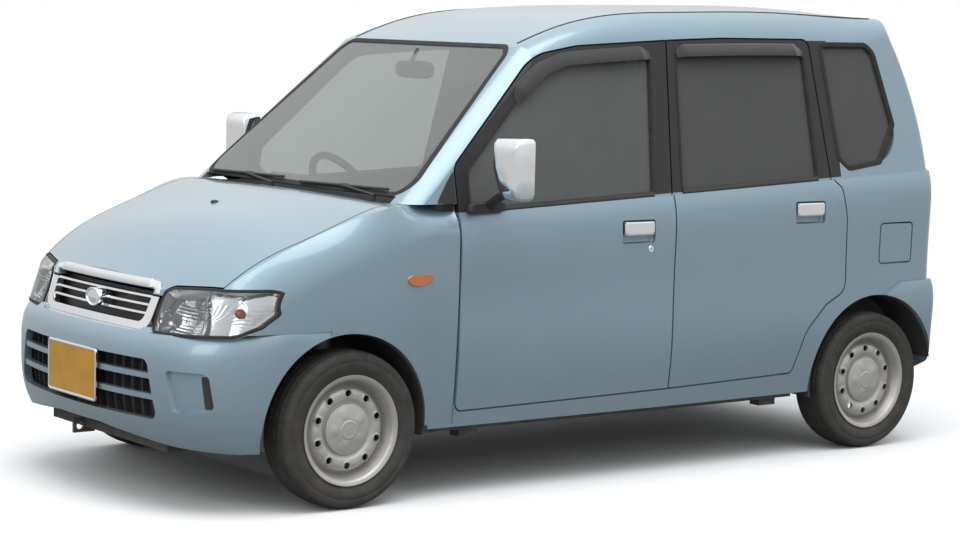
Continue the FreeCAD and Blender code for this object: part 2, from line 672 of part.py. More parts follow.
def make_firewall():
    """Bulkhead with the inner wings and the tops that hold the front struts."""
    inside = whole_body(DOOR_DEPTH + SEAT_GAP)
    wall = box(at(FIREWALL), at(FIREWALL) + 12, -720, 720, FLOOR_Z, 960).common(inside)
    parts = [wall]
    hollow = front_house(0)
    liner = front_house(HOUSE_WALL).cut(hollow)
    liner = liner.common(box(at(-700), at(700), APRON_Y, 900, RAIL_TOP + SEAT_GAP, 1000))
    behind = box(at(-700), at(DOOR_FRONT), 0, 690, 0, 900)
    liner = liner.common(whole_nose(FENDER_WALL + SEAT_GAP).fuse(behind))
    liner = liner.common(box(at(-700), at(HOUSE_FRONT), 0, 660, 0, 1000)).cut(king_rod(52, 300, STRUT_TOP))
    parts = [wall.cut([hollow, other_side(hollow)]), liner, other_side(liner)]
    for turn in (1, -1):
        apron = [(at(FIREWALL) + 12, RAIL_TOP + SEAT_GAP, 0), (at(FIREWALL) + 12, STRUT_TOP + 12, 0),
                 (at(100), STRUT_TOP + 12, 30), (at(APRON_FRONT), 590, 30),
                 (at(APRON_FRONT), RAIL_TOP + SEAT_GAP, 0)]
        parts.append(prism(apron, side, V(0, turn * APRON_Y, 0), V(0, turn * 8, 0)))
        y0, y1 = sorted((turn * APRON_Y, turn * (APRON_Y + 8)))
        parts.append(box(at(-330), at(FIREWALL) + 13, y0, y1, FLOOR_Z, 630))
        y0, y1 = sorted((turn * APRON_Y, turn * (STRUT_TOP_Y + 60)))
        hole = king_rod(PIN_R + PIN_GAP, STRUT_TOP - 20, STRUT_TOP + 40)
        top = box(at(-80), at(80), y0, y1, STRUT_TOP, STRUT_TOP + 12)
        parts.append(top.cut([hole, other_side(hole)]))
    return joined(parts)


def make_front_bumper():
    """Bumper skin with its intake, two bars across it, a lamp recess each side and the plate's bracket."""
    skin = BUMPER[0.0].cut(BUMPER[BUMPER_WALL]).common(box(at(84), at(900), -900, 900, 0, 900))
    lamp = front_prism(grow(LAMP, SEAT_GAP))
    cuts = [FRONT_ARCH_CUT, other_side(FRONT_ARCH_CUT), lamp, other_side(lamp)]
    cuts += [front_prism(INTAKE, 300), front_prism(BUMPER_ARCH, 300)]
    cuts.append(front_prism(grow(GRILLE, SEAT_GAP), 300))
    recess = front_prism(FOG, 300).cut(front_bumper_body(FOG_DEPTH))
    cuts += [recess, other_side(recess)]
    skin = skin.cut(cuts)
    slab = front_bumper_body(BAR_INSET).cut(BUMPER[BUMPER_WALL])
    bars = [slab.common(box(at(300), at(900), -BAR_END, BAR_END, z - BAR / 2, z + BAR / 2)) for z in BARS]
    bracket = box(at(PLATE_X - 26), at(PLATE_X), PLATE_Y - 130, PLATE_Y + 130, BARS[1], 500)
    for turn in (-1, 1):
        bracket = bracket.cut(rod(V(at(590), PLATE_Y + turn * PLATE_HOLES / 2, PLATE_HOLE_Z),
                                  V(at(650), PLATE_Y + turn * PLATE_HOLES / 2, PLATE_HOLE_Z), PLATE_HOLE_R))
    return skin.fuse(bars + [bracket]).removeSplitter()


def make_front_panel():
    """Black panel behind grille and intake: upright ribs, and two rests under the bonnet's lip."""
    rest_z = GRILLE_TOP + GAP / 2 - SEAT_GAP
    back = box(at(300), at(900), -352, 352, 560, rest_z).common(whole_nose(46)).cut(whole_nose(52))
    low = box(at(300), at(900), -474, 474, 300, 561).common(front_bumper_body(50)).cut(front_bumper_body(56))
    blades = []
    for i in range(RIBS):
        y = (i + 0.5 - RIBS / 2) * RIB_STEP
        blades.append(box(at(300), at(900), y - 2, y + 2, 306, 492))
    between = front_bumper_body(BUMPER_WALL + SEAT_GAP).cut(front_bumper_body(52))
    ribs = Part.makeCompound(blades).common(between)
    ledge = box(at(440), at(540), -350, 350, 556, 561)
    feet = [box(at(440), at(500), y - 30, y + 30, RAIL_TOP + SEAT_GAP, 306) for y in (-370, 370)]
    feet += [box(at(440), at(548), y - 10, y + 10, 300, 306) for y in (-370, 370)]
    rest = box(at(300), at(900), 334, 352, rest_z - 5, rest_z).common(whole_nose(12)).cut(whole_nose(48))
    return joined([back, low, ledge, rest, other_side(rest)] + ribs.Solids + feet)


def make_grille():
    """Chrome U-shaped surround, open at its top, with slats and a plain oval boss."""
    region = front_prism(grow(GRILLE, -SEAT_GAP)).cut([front_prism(GRILLE_HOLE), above(GRILLE_TOP - GAP / 2)])
    frame = layer(NOSE, 0.0, FENDER_WALL, region)
    slab = box(at(300), at(900), -332, 332, 590, 690).common(whole_nose(SLAT_INSET)).cut(NOSE[FENDER_WALL])
    slats = [slab.common(box(at(300), at(900), -332, 332, z - SLAT / 2, z + SLAT / 2)) for z in SLATS]
    boss = [(-BOSS_Y, BOSS_Z - BOSS_R, BOSS_R), (-BOSS_Y, BOSS_Z + BOSS_R, BOSS_R),
            (BOSS_Y, BOSS_Z + BOSS_R, BOSS_R), (BOSS_Y, BOSS_Z - BOSS_R, BOSS_R)]
    return joined([frame] + slats + [prism(boss, face_on, V(at(510), 0, 0), V(50, 0, 0))])


def above(z):
    """Everything ahead of the wheels and over a height."""
    return box(at(300), at(900), -500, 500, z, 900)


def make_headlamp_lens():
    return front_prism(LAMP).common(NOSE[0.0]).cut(whole_nose(LENS))


def make_headlamp_unit():
    """Lamp body behind the lens, with a small and a large round bowl."""
    unit = front_prism(grow(LAMP, -1.5)).common(whole_nose(LENS + 6)).cut(whole_nose(LAMP_DEPTH))
    bowls = []
    for ahead, y, z, radius in BOWLS:
        bowls.append(Part.makeCone(radius * 0.45, radius, 92, V(at(ahead), y, z), V(1, 0, 0)))
    return unit.cut(bowls)


def make_door(corners, window, grip, hinge_x):
    boxes = [box(at(hinge_x - 40), at(hinge_x), 500, 900, z - 30, z + 30) for z in HINGE_HEIGHTS]
    door = door_panel(corners, window, side_prism, boxes).cut([GROOVES[0], handle_pocket(*grip)])
    return door.fuse(handle(*grip)).removeSplitter()


def handle_pocket(front, rear, z):
    """The hand's recess behind and below a handle."""
    y = side_y(at((front + rear) / 2), z)
    return block(at(rear) - 8, at(front) + 8, y - POCKET, y + 20, z - 50, z + 32, 10)


def handle(front, rear, z):
    """A broad flap on two feet over its recess."""
    y = side_y(at((front + rear) / 2), z)
    bar = block(at(rear), at(front), y, y + 11, z - 22, z + 26, 4)
    feet = [box(x, x + 18, y - POCKET - 2, y + 4, z - 6, z + 20) for x in (at(rear) + 6, at(front) - 24)]
    return bar.fuse(feet)


def side_y(x, z):
    """Half width of the lower body at a point, from its upper outlines."""
    low, high = (737.5, 790.0), (731.0, 900.0)
    return low[0] + (high[0] - low[0]) * (z - low[1]) / (high[1] - low[1]) - bow(x)


def make_mirror():
    """Square door mirror, narrower below, on a short neck and a plate at the window's corner."""
    shell = [(at(-558), 1012, 10), (at(-558), 1202, 10), (at(-492), 1202, 26), (at(-478), 1120, 60),
             (at(-520), 1012, 30)]
    taper = [(782, 1112, 60), (782, 1210, 18), (928, 1210, 18), (928, 1004, 22), (826, 1004, 40)]
    head = prism(shell, side, V(0, 700, 0), V(0, 300, 0)).common(
        prism(taper, face_on, V(at(-600), 0, 0), V(200, 0, 0)))
    rim = [(y, z, max(r - 14, 4)) for y, z, r in grow(taper, -16)]
    face = prism(rim, face_on, V(at(-560), 0, 0), V(8, 0, 0))
    plate = prism([(at(-598), 956, 8), (at(-438), 952, 8), (at(-452), 984, 12), (at(-588), 988, 12)], side,
                  V(0, 690, 0), V(0, 40, 0))
    neck = rod(V(at(-530), 716, 972), V(at(-534), 852, 1034), 13)
    return joined([head.cut(face), plate.fuse(neck).cut(whole_body(-SEAT_GAP))])


def make_fuel_lid():
    lid = layer(BODY, 0.0, DOOR_SKIN, side_prism(grow(FUEL_LID, -GAP / 2), 690.0))
    plate = hinge_plates(FUEL_LID, [box(at(-2402), at(-2384), 600, 900, 760, 800)], side_prism)
    return lid.fuse(plate).removeSplitter()


def make_bonnet():
    """Bonnet skin with its inner frame; its lip carries the upper bar of the grille."""
    skin = layer(NOSE, 0.0, NOSE_SKIN, plan_prism(grow(BONNET, -GAP / 2)))
    inner = layer(NOSE, NOSE_SKIN, FENDER_WALL, plan_prism(grow(BONNET, -GAP / 2 - BONNET_STEP)))
    lamp = front_prism(grow(LAMP, GAP))
    lip = box(at(400), at(900), -650, 650, 0, GRILLE_TOP + GAP / 2)
    return skin.fuse(inner).cut([lip, front_prism(GRILLE_HOLE), lamp, other_side(lamp)]).removeSplitter()


def make_rear_bumper():
    skin = rear_bumper_body().cut(rear_bumper_body(BUMPER_WALL)).common(side_prism(REAR_BUMPER, -900.0))
    return skin.cut([REAR_ARCH_CUT, other_side(REAR_ARCH_CUT)])


def make_tail_lamps():
    return both(layer(BODY, 0.0, DOOR_SKIN, lamp_region()).cut(TAILGATE_CUTS))


def make_floor():
    """Front floor, heel board, load floor, rear wheel tubs and the panel under the tailgate."""
    tub_x = REAR_AXLE - ARCH_SHIFT
    parts = [box(at(-2000), at(FIREWALL) + 12, -720, 720, FLOOR_Z - 18, FLOOR_Z - SEAT_GAP),
             box(at(-2000), at(-1984), -720, 720, FLOOR_Z - 18, LOAD_Z),
             box(at(-2712), at(-1984), -720, 720, LOAD_Z - 12, LOAD_Z),
             box(at(-2712), at(-2700), -590, 590, 262, 648)]
    house = front_house(HOUSE_WALL + SEAT_GAP)
    floor = joined(parts).common(INSIDE).cut([house, other_side(house)])
    tubs, holes = [], []
    for turn in (1, -1):
        y0 = TUB_Y if turn > 0 else -TUB_Y
        drum = Part.makeCylinder(REAR_ARCH + 10, 200, V(tub_x, y0, ARCH_Z), V(0, turn, 0))
        hollow = Part.makeCylinder(REAR_ARCH + 4, 200, V(tub_x, y0 + turn * 6, ARCH_Z), V(0, turn, 0))
        tubs.append(drum.cut(hollow).common(box(-2500, 2500, -900, 900, LOAD_Z - 40, 900)).common(INSIDE))
        holes.append(hollow)
    pads = [box(at(x) - 40, at(x) + 40, y - 25, y + 25, JACK_Z, FLOOR_Z - 10)
            for x in JACK_X for y in (-JACK_Y, JACK_Y)]
    return joined([floor.cut(holes)] + tubs + pads)


def make_tyre():
    """Plain tyre section turned about the wheel's axis; pairs are radius and half width."""
    half = [(RIM_RADIUS - 14, 56), (RIM_RADIUS - 3, 62), (RIM_RADIUS + 8, 68), (TYRE_RADIUS - 46, 76),
            (TYRE_RADIUS - 20, 73), (TYRE_RADIUS - 8, 66), (TYRE_RADIUS - 2, 54), (TYRE_RADIUS, 40)]
    points = [V(r, w, 0) for r, w in half] + [V(r, -w, 0) for r, w in reversed(half)]
    face = Part.Face(Part.makePolygon(points + [points[0]]))
    return face.revolve(V(0, 0, 0), V(0, 1, 0), 360)


def make_rim():
    """Steel wheel: rolled rim, measured inward from its lip, pierced disc and raised centre cap."""
    barrel = [(0, 70), (0, 66), (-14, 62), (-16.3, 40), (-30, 22), (-30, -22), (-16.3, -40), (-14, -62),
              (0, -66), (0, -70), (-18, -66), (-21, -42), (-35, -24), (-35, 24), (-21, 42), (-18, 66)]
    points = [V(RIM_RADIUS + r, w, 0) for r, w in barrel]
    rim = Part.Face(Part.makePolygon(points + [points[0]])).revolve(V(0, 0, 0), V(0, 1, 0), 360)
    edge = RIM_RADIUS - 33.5
    disc = [(edge, 20), (edge - 4.5, 24), (134, 42), (104, 46), (91, 40), (86, 46), (60, 56), (0, 60),
            (0, HUB_FACE), (60, HUB_FACE), (92, 35), (104, 41), (130, 37), (edge - 10.5, 19), (edge, 14)]
    points = [V(r, w, 0) for r, w in disc]
    dish = Part.Face(Part.makePolygon(points + [points[0]])).revolve(V(0, 0, 0), V(0, 1, 0), 360)
    holes = []
    for i in range(RIM_HOLES):
        turn = math.radians(360 / RIM_HOLES * (i + 0.5))
        centre = V(HOLE_RING * math.cos(turn), 0, HOLE_RING * math.sin(turn))
        holes.append(Part.makeCylinder(HOLE_R, 80, centre, V(0, 1, 0)))
    return rim.fuse(dish.cut(holes)).removeSplitter()


def king(z):
    """A point on the left steering axis, which leans in towards its top."""
    return V(FRONT_AXLE, KING_Y - KING_LEAN * (z - HUB_Z), z)


def king_rod(radius, low, high):
    return rod(king(low), king(high), radius)


def make_knuckle():
    """Hub, brake disc and knuckle with the strut, which leans in to the top of the inner wing."""
    hub = rod(V(FRONT_AXLE, 560, HUB_Z), V(FRONT_AXLE, WHEEL_Y + HUB_FACE - SEAT_GAP, HUB_Z), 50)
    brake = rod(V(FRONT_AXLE, 594, HUB_Z), V(FRONT_AXLE, 606, HUB_Z), 96)
    upright = box(FRONT_AXLE - 32, FRONT_AXLE + 32, 556, 590, 158, 330)
    strut = king_rod(20, 300, 505)
    coil = king_rod(36, 500, 660)
    pin = king_rod(PIN_R, 655, STRUT_TOP + 6)
    arm = box(FRONT_AXLE - 20, FRONT_AXLE + 20, 520, 590, 300, 345)
    return joined([hub, brake, upright, strut, coil, pin, arm])


def make_subframe():
    """Rails, crossmembers and lower arms under the engine, with the towing eye."""
    parts = [box(at(-170), at(500), y - 30, y + 30, RAIL_TOP - 30, RAIL_TOP) for y in (-370, 370)]
    parts.append(box(at(-90), at(90), -400, 400, 150, 185))
    parts.append(box(at(430), at(500), -400, 400, RAIL_TOP - 30, RAIL_TOP))
    for turn in (1, -1):
        arm = [(FRONT_AXLE - 70, turn * 380, 0), (FRONT_AXLE - 24, turn * 612, 20),
               (FRONT_AXLE + 24, turn * 612, 20), (FRONT_AXLE + 70, turn * 380, 0)]
        parts.append(prism(arm, plan, V(0, 0, 134), V(0, 0, 20)))
        y0, y1 = sorted((turn * 340, turn * 400))
        parts.append(box(FRONT_AXLE - 70, FRONT_AXLE + 70, y0, y1, 134, 160))
    half = TOW_THICK / 2
    eye = box(at(TOW_X - 55), at(TOW_X + 24), TOW_Y - half, TOW_Y + half, TOW_Z - 23, TOW_Z + 25)
    eye = eye.cut(rod(V(at(TOW_X), TOW_Y - 20, TOW_Z), V(at(TOW_X), TOW_Y + 20, TOW_Z), TOW_R))
    tongue = box(at(430), at(TOW_X - 30), TOW_Y - 20, TOW_Y + 20, RAIL_TOP - 20, RAIL_TOP)
    for y in (-315, 315):
        parts.append(box(at(200), at(260), y - 35, y + 35, RAIL_TOP - 22, RAIL_TOP))
    for y in (-370, 370):
        parts.append(box(at(FIREWALL) - 60, at(-160), y - 30, y + 30, RAIL_TOP - 30, RAIL_TOP))
    return joined(parts + [eye, tongue])


def make_rear_axle():
    """Beam with trailing arms, springs and brake drums."""
    beam = rod(V(REAR_AXLE, -580, HUB_Z), V(REAR_AXLE, 580, HUB_Z), 28)
    parts = [beam]
    for turn in (1, -1):
        parts.append(rod(V(REAR_AXLE, turn * 574, HUB_Z), V(REAR_AXLE, turn * 636, HUB_Z), 98))
        hub_end = turn * (WHEEL_Y + HUB_FACE - SEAT_GAP)
        parts.append(rod(V(REAR_AXLE, turn * 600, HUB_Z), V(REAR_AXLE, hub_end, HUB_Z), 50))
        y0, y1 = sorted((turn * 440, turn * 480))
        parts.append(box(REAR_AXLE - 20, REAR_AXLE + 350, y0, y1, HUB_Z - 50, HUB_Z - 18))
        parts.append(box(REAR_AXLE + 310, REAR_AXLE + 350, y0, y1, HUB_Z - 50, LOAD_Z - 12 - SEAT_GAP))
        foot = V(REAR_AXLE + 40, turn * 460, HUB_Z - 30)
        parts.append(rod(foot, V(foot.x, foot.y, LOAD_Z - 12 - SEAT_GAP), 38))
    return joined(parts)


def make_seat(y, width):
    """Cushion, leaning back and head rest of one seat, as one soft shape seen from the side."""
    cushion = [(at(-1440), 236 + 60, 20), (at(-985), 236 + 60, 30), (at(-975), 470, 60), (at(-1400), 440, 10)]
    back = [(at(-1385), 330, 40), (at(-1400), 440, 10), (at(-1540), 985, 45), (at(-1640), 965, 45),
            (at(-1500), 330, 40)]
    rest = [(at(-1555), 1030, 40), (at(-1565), 1160, 40), (at(-1660), 1150, 40), (at(-1650), 1015, 30)]
    parts = []
    for shape, wide in ((cushion, width), (back, width - 20), (rest, 250)):
        parts.append(prism(shape, side, V(0, y - wide / 2, 0), V(0, wide, 0)))
    for turn in (-1, 1):
        parts.append(rod(V(at(-1600), y + turn * 55, 950), V(at(-1612), y + turn * 55, 1040), 6))
    for rail in (y - 170, y + 170):
        parts.append(box(at(-1420), at(-1020), rail - 15, rail + 15, FLOOR_Z, 300))
    return joined(parts)


def make_rear_seat():
    cushion = [(at(-2150), LOAD_Z + SEAT_GAP, 10), (at(-1976), LOAD_Z + SEAT_GAP, 0), (at(-1976), 300, 20),
               (at(-1720), 300, 40), (at(-1710), 480, 50), (at(-2120), 455, 10)]
    back = [(at(-2080), 360, 20), (at(-2110), 455, 10), (at(-2230), 960, 40), (at(-2320), 940, 40),
            (at(-2190), 350, 20)]
    parts = []
    for shape, wide in ((cushion, 1060), (back, 1050)):
        parts.append(prism(shape, side, V(0, -wide / 2, 0), V(0, wide, 0)))
    legs = [box(at(-1790), at(-1760), y - 20, y + 20, FLOOR_Z, 310) for y in (-400, 400)]
    return joined(parts + legs)


def make_dashboard():
    """Dashboard with the hood over the dials and the steering column."""
    wall = at(FIREWALL) - SEAT_GAP
    body = [(wall, 900, 10), (wall - 12, 978, 20), (at(-420), 975, 40), (at(-560), 905, 40),
            (at(-540), 700, 60), (at(-430), 640, 40), (wall, 640, 10)]
    parts = [prism(body, side, V(0, -DASH_HALF, 0), V(0, 2 * DASH_HALF, 0))]
    hood = [(at(-400), 960, 10), (at(-430), 1012, 20), (at(-540), 1000, 20), (at(-552), 880, 20),
            (at(-440), 880, 10)]
    parts.append(prism(hood, side, V(0, WHEEL_SIDE - 170, 0), V(0, 340, 0)))
    stack = [(wall, 640, 0), (wall, 500, 0), (at(-400), 380, 20), (at(-520), 420, 20), (at(-545), 700, 0)]
    parts.append(prism(stack, side, V(0, -120, 0), V(0, 240, 0)))
    column = rod(COLUMN_TOP - COLUMN * 330, COLUMN_TOP - COLUMN * 60, 26)
    return joined(parts + [column])


def make_steering_wheel():
    wheel = Part.makeTorus(STEER_R, 14, COLUMN_TOP, COLUMN)
    parts = [wheel, rod(COLUMN_TOP - COLUMN * (60 - SEAT_GAP), COLUMN_TOP + COLUMN * 4, 44)]
    across = V(0, 1, 0)
    up = COLUMN.cross(across)
    for turn in (20, 160, 270):
        reach = across * math.cos(math.radians(turn)) + up * math.sin(math.radians(turn)) * -1
        parts.append(rod(COLUMN_TOP - COLUMN * 14, COLUMN_TOP + reach * STEER_R, 11))
    return joined(parts)


def make_wipers(cowl):
    parts = []
    for y0, y1, pivot in WIPERS:
        for a, b, radius, z0, z1 in ((y0, y1, 5, 1018, 1026), (pivot, (y0 + y1) / 2, 5, 1004, 1022)):
            start, end = (V(screen_x(z0, a) + 16, a, z0), V(screen_x(z1, b) + 16, b, z1))
            parts.append(rod(start, end, radius))
        post_x, middle = screen_x(1000, pivot) + 16, (y0 + y1) / 2
        parts.append(rod(V(post_x, pivot, 985), V(post_x, pivot, 1008), 9))
        clip_x = screen_x(1022, middle)
        parts.append(box(clip_x - 2, clip_x + 18, middle - 8, middle + 8, 1016, 1028))
    return joined(parts).cut([SCREEN_OUT, cowl])


def screen_x(z, y):
    """Where the windscreen's face lies at a height and a distance from the middle."""
    return at(-54 - 423.0 * (z - 870) / 380) - y * y / 18000


def make_exhaust():
    parts = [rod(V(at(-94), 300, 170), V(at(-2480), 300, 170), 18),
             rod(V(at(-2470), 300, 225), V(at(-2640), 300, 225), 62),
             rod(V(at(-2630), 300, 205), V(at(-2725), 300, 205), 20),
             box(at(-2500), at(-2470), 285, 315, 165, 225),
             box(at(-2570), at(-2550), 290, 310, 280, LOAD_Z - 12 - SEAT_GAP),
             box(at(-1210), at(-1190), 292, 308, 180, FLOOR_Z - 18 - SEAT_GAP)]
    return joined(parts)


BUMPER = {depth: front_bumper_body(depth) for depth in (0.0, BUMPER_WALL)}


def save_pair(name, shape):
    save(name + "_left", shape)
    save(name + "_right", other_side(shape))


def place_wheel(shape, axle, turn):
    wheel = shape.copy()
    if turn < 0:
        wheel = other_side(wheel)
    wheel.translate(V(axle, turn * WHEEL_Y, HUB_Z))
    return wheel


def build():
    save_pair("body_side", make_body_side())
    save_pair("fender", make_fender())
    save_pair("door_front", make_door(FRONT_DOOR, FRONT_WINDOW, (-1106, -1240, 878), DOOR_FRONT))
    save_pair("door_rear", make_door(REAR_DOOR, REAR_WINDOW, (-1938, -2074, 921), DOOR_MIDDLE))
    save_pair("glass_front", pane(FRONT_WINDOW, side_prism))
    save_pair("glass_rear", pane(REAR_WINDOW, side_prism))
    save_pair("mirror", make_mirror())
    save("quarter_windows", both(pane(QUARTER_WINDOW, side_prism)))
    tail_hinges = [box(at(-2900), at(-2400), -620, -555, z - 30, z + 30) for z in (760, 1020)]
    save("tailgate", door_panel(TAILGATE, REAR_GLASS, tail_prism, tail_hinges))
    save("glass_tailgate", pane(REAR_GLASS, tail_prism))
    save("windscreen", screen_prism(grow(SCREEN, -SEAT_GAP)).common(SCREEN_OUT).cut(SCREEN_IN))
    save("roof", make_roof())
    save("bonnet", make_bonnet())
    cowl = make_cowl()
    save("cowl", cowl)
    save("firewall", make_firewall())
    save("floor_pan", make_floor())
    save("front_bumper", make_front_bumper())
    save("front_panel", make_front_panel())
    save("rear_bumper", make_rear_bumper())
    save("grille", make_grille())
    save("headlamp_lenses", both(make_headlamp_lens()))
    save("headlamp_units", both(make_headlamp_unit()))
    save("tail_lamps", make_tail_lamps())
    save("fuel_lid", make_fuel_lid())
    save("front_seats", Part.makeCompound([make_seat(-WHEEL_SIDE, 480), make_seat(WHEEL_SIDE, 480)]))
    save("rear_seat", make_rear_seat())
    save("dashboard", make_dashboard())
    save("steering_wheel", make_steering_wheel())
    save("wipers", make_wipers(cowl))
    save("engine", block(at(70), at(425), -300, 300, RAIL_TOP + SEAT_GAP, 640, 20))
    save("front_subframe", make_subframe())
    save_pair("knuckle", make_knuckle())
    save("rear_axle", make_rear_axle())
    save("fuel_tank", block(at(-1900), at(-1330), -420, 200, 152, FLOOR_Z - 18 - SEAT_GAP, 14))
    save("exhaust", make_exhaust())
    tyre, rim = make_tyre(), make_rim()
    for end, axle in (("front", FRONT_AXLE), ("rear", REAR_AXLE)):
        for name, turn in (("left", 1), ("right", -1)):
            save("tyre_" + end + "_" + name, place_wheel(tyre, axle, turn))
            save("rim_" + end + "_" + name, place_wheel(rim, axle, turn))


build()
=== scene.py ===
# %% [markdown]
# # Dressing a small car
# The construction of this car comes ready made: every panel, wheel and hinge is a node of a packed
# frame. This lesson gives each node its finish and adds the fine pieces, such as tyres, lamps, trim
# and seats.

# %% Load the frame
import json
import math
import bpy
import numpy as np
from mathutils import Matrix, Vector
from mathutils.bvhtree import BVHTree


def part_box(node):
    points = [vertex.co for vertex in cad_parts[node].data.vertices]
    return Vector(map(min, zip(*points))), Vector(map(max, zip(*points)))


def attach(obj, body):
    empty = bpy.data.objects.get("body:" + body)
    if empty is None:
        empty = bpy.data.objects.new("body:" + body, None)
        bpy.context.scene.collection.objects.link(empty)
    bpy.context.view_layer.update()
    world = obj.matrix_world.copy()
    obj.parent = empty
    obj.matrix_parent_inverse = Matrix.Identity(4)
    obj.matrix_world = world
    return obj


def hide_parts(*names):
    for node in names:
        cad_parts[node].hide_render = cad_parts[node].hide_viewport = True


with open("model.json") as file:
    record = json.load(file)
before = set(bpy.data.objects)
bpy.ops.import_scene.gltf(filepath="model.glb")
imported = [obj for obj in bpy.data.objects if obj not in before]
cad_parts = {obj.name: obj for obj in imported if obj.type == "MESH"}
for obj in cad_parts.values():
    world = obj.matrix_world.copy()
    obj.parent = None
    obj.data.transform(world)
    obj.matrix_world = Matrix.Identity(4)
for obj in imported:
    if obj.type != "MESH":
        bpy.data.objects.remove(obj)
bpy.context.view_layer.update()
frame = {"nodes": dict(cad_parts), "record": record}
NODES = frame["nodes"]

# %% [markdown]
# ## Places that many pieces share
# A car is measured from its front axle, so stations along it are written in metres ahead of that
# axle. The axle's place is read from the front rim's box, so the pieces follow the frame.

# %% Stations
RIM_LOW, RIM_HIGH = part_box("rim_front_left")
AXLE = (RIM_LOW.x + RIM_HIGH.x) / 2
HUB_Z = (RIM_LOW.z + RIM_HIGH.z) / 2
WHEEL_Y = (RIM_LOW.y + RIM_HIGH.y) / 2
REAR_LOW, REAR_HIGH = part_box("rim_rear_left")
REAR_AXLE = (REAR_LOW.x + REAR_HIGH.x) / 2
BELT_Z = 0.948
BELT_X = AXLE - 0.405
BELT_SLOPE = math.tan(math.radians(2.65))


def at(ahead):
    """X of a station that lies this many metres ahead of the front axle."""
    return AXLE + ahead


def belt(x):
    """Height of the window line at x, which climbs towards the tail."""
    return BELT_Z + (BELT_X - x) * BELT_SLOPE


print("front axle", round(AXLE, 4), "rear axle", round(REAR_AXLE, 4))

# %% [markdown]
# ## Meshes from arrays
# Each new surface is worked out as one array of points. Three helpers cover nearly all of them: a
# grid of points joined into faces, a section turned about an axis, and a section carried along a
# path.

# %% Mesh helpers
CORNER_PULL = 0.6


def grid(points, close_u=False, close_v=False, cap=False):
    """Points of shape (u, v, 3) joined into quads; each quad takes the four neighbours of a cell."""
    nu, nv = points.shape[:2]
    iu, iv = np.meshgrid(np.arange(nu - (not close_u)), np.arange(nv - (not close_v)), indexing="ij")
    ju, jv = (iu + 1) % nu, (iv + 1) % nv
    faces = np.stack([iu * nv + iv, ju * nv + iv, ju * nv + jv, iu * nv + jv], -1).reshape(-1, 4)
    lists = faces.tolist()
    if cap:
        lists.append(list(range(nv)))
        lists.append([(nu - 1) * nv + i for i in range(nv)][::-1])
    return points.reshape(-1, 3), lists


def turned(profile, centre, steps=96, axis="y"):
    """A closed section of (radius, offset) pairs turned a full circle about an axis through centre."""
    profile = np.asarray(profile, float)
    angle = np.linspace(0, 2 * np.pi, steps, endpoint=False)[:, None]
    a = profile[None, :, 0] * np.cos(angle)
    b = profile[None, :, 0] * np.sin(angle)
    along = np.broadcast_to(profile[None, :, 1], a.shape)
    order = {"y": (a, along, b), "x": (along, a, b), "z": (a, b, along)}[axis]
    return grid(np.stack(order, -1) + np.asarray(centre, float), True, True)


def carried(path, section, up=(0, 0, 1), closed=False, scale=None):
    """A section of (side, up) pairs carried along a path: each point is path + side * s + up * u."""
    path, section = np.asarray(path, float), np.asarray(section, float)
    if closed:
        ahead = np.roll(path, -1, 0) - np.roll(path, 1, 0)
    else:
        ahead = np.gradient(path, axis=0)
    ahead /= np.linalg.norm(ahead, axis=1)[:, None]
    up = np.broadcast_to(np.asarray(up, float), path.shape)
    side = np.cross(ahead, up)
    side /= np.linalg.norm(side, axis=1)[:, None]
    lift = np.cross(side, ahead)
    size = np.ones(len(path)) if scale is None else np.asarray(scale, float)
    points = (path[:, None] + side[:, None] * (section[None, :, :1] * size[:, None, None])
              + lift[:, None] * (section[None, :, 1:] * size[:, None, None]))
    return grid(points, closed, True, not closed)


def round_section(radius, count=12, flat=1.0):
    """A ring of (side, up) pairs; flat squeezes it upwards."""
    angle = np.linspace(0, 2 * np.pi, count, endpoint=False)
    return np.stack([radius * np.cos(angle), radius * flat * np.sin(angle)], -1)


def rounded_outline(corners, arc_steps=6):
    """A closed outline with each (u, v, radius) corner rounded by an arc that touches both its runs."""
    corners = np.asarray(corners, float)
    rows = []
    for i, (u, v, radius) in enumerate(corners):
        here = np.array([u, v])
        back = corners[i - 1, :2] - here
        on = corners[(i + 1) % len(corners), :2] - here
        lengths = np.linalg.norm(back), np.linalg.norm(on)
        back, on = back / lengths[0], on / lengths[1]
        half = math.acos(np.clip(back @ on, -1, 1)) / 2
        if radius <= 0 or half > 1.56:
            rows.append(here[None])
            continue
        step = min(radius / math.tan(half), 0.49 * lengths[0], 0.49 * lengths[1])
        t = np.linspace(0, 1, arc_steps)[:, None]
        start, end = here + back * step, here + on * step
        pull = here * CORNER_PULL + (start + end) * (1 - CORNER_PULL) / 2
        rows.append((1 - t) ** 2 * start + 2 * t * (1 - t) * pull + t ** 2 * end)
    return np.concatenate(rows)


def resample(points, count, closed=True):
    """The same outline with its points evenly spaced by length."""
    points = np.asarray(points, float)
    if closed:
        points = np.concatenate([points, points[:1]])
    run = np.concatenate([[0], np.cumsum(np.linalg.norm(np.diff(points, axis=0), axis=1))])
    want = np.linspace(0, run[-1], count, endpoint=not closed)
    return np.stack([np.interp(want, run, points[:, i]) for i in range(points.shape[1])], -1)


def pillow(centre, half, power=4.0, nu=24, nv=32):
    """A rounded block: a superellipsoid whose half sizes are half, squarer as power grows."""
    a = np.linspace(-np.pi / 2, np.pi / 2, nu)[:, None]
    b = np.linspace(0, 2 * np.pi, nv, endpoint=False)[None]

    def bent(value):
        return np.sign(value) * np.abs(value) ** (2 / power)

    x = bent(np.cos(a)) * bent(np.cos(b))
    y = bent(np.cos(a)) * bent(np.sin(b))
    z = bent(np.sin(a)) * np.ones_like(b)
    points = np.stack([x, y, z], -1) * np.asarray(half) + np.asarray(centre)
    return grid(points, False, True, True)


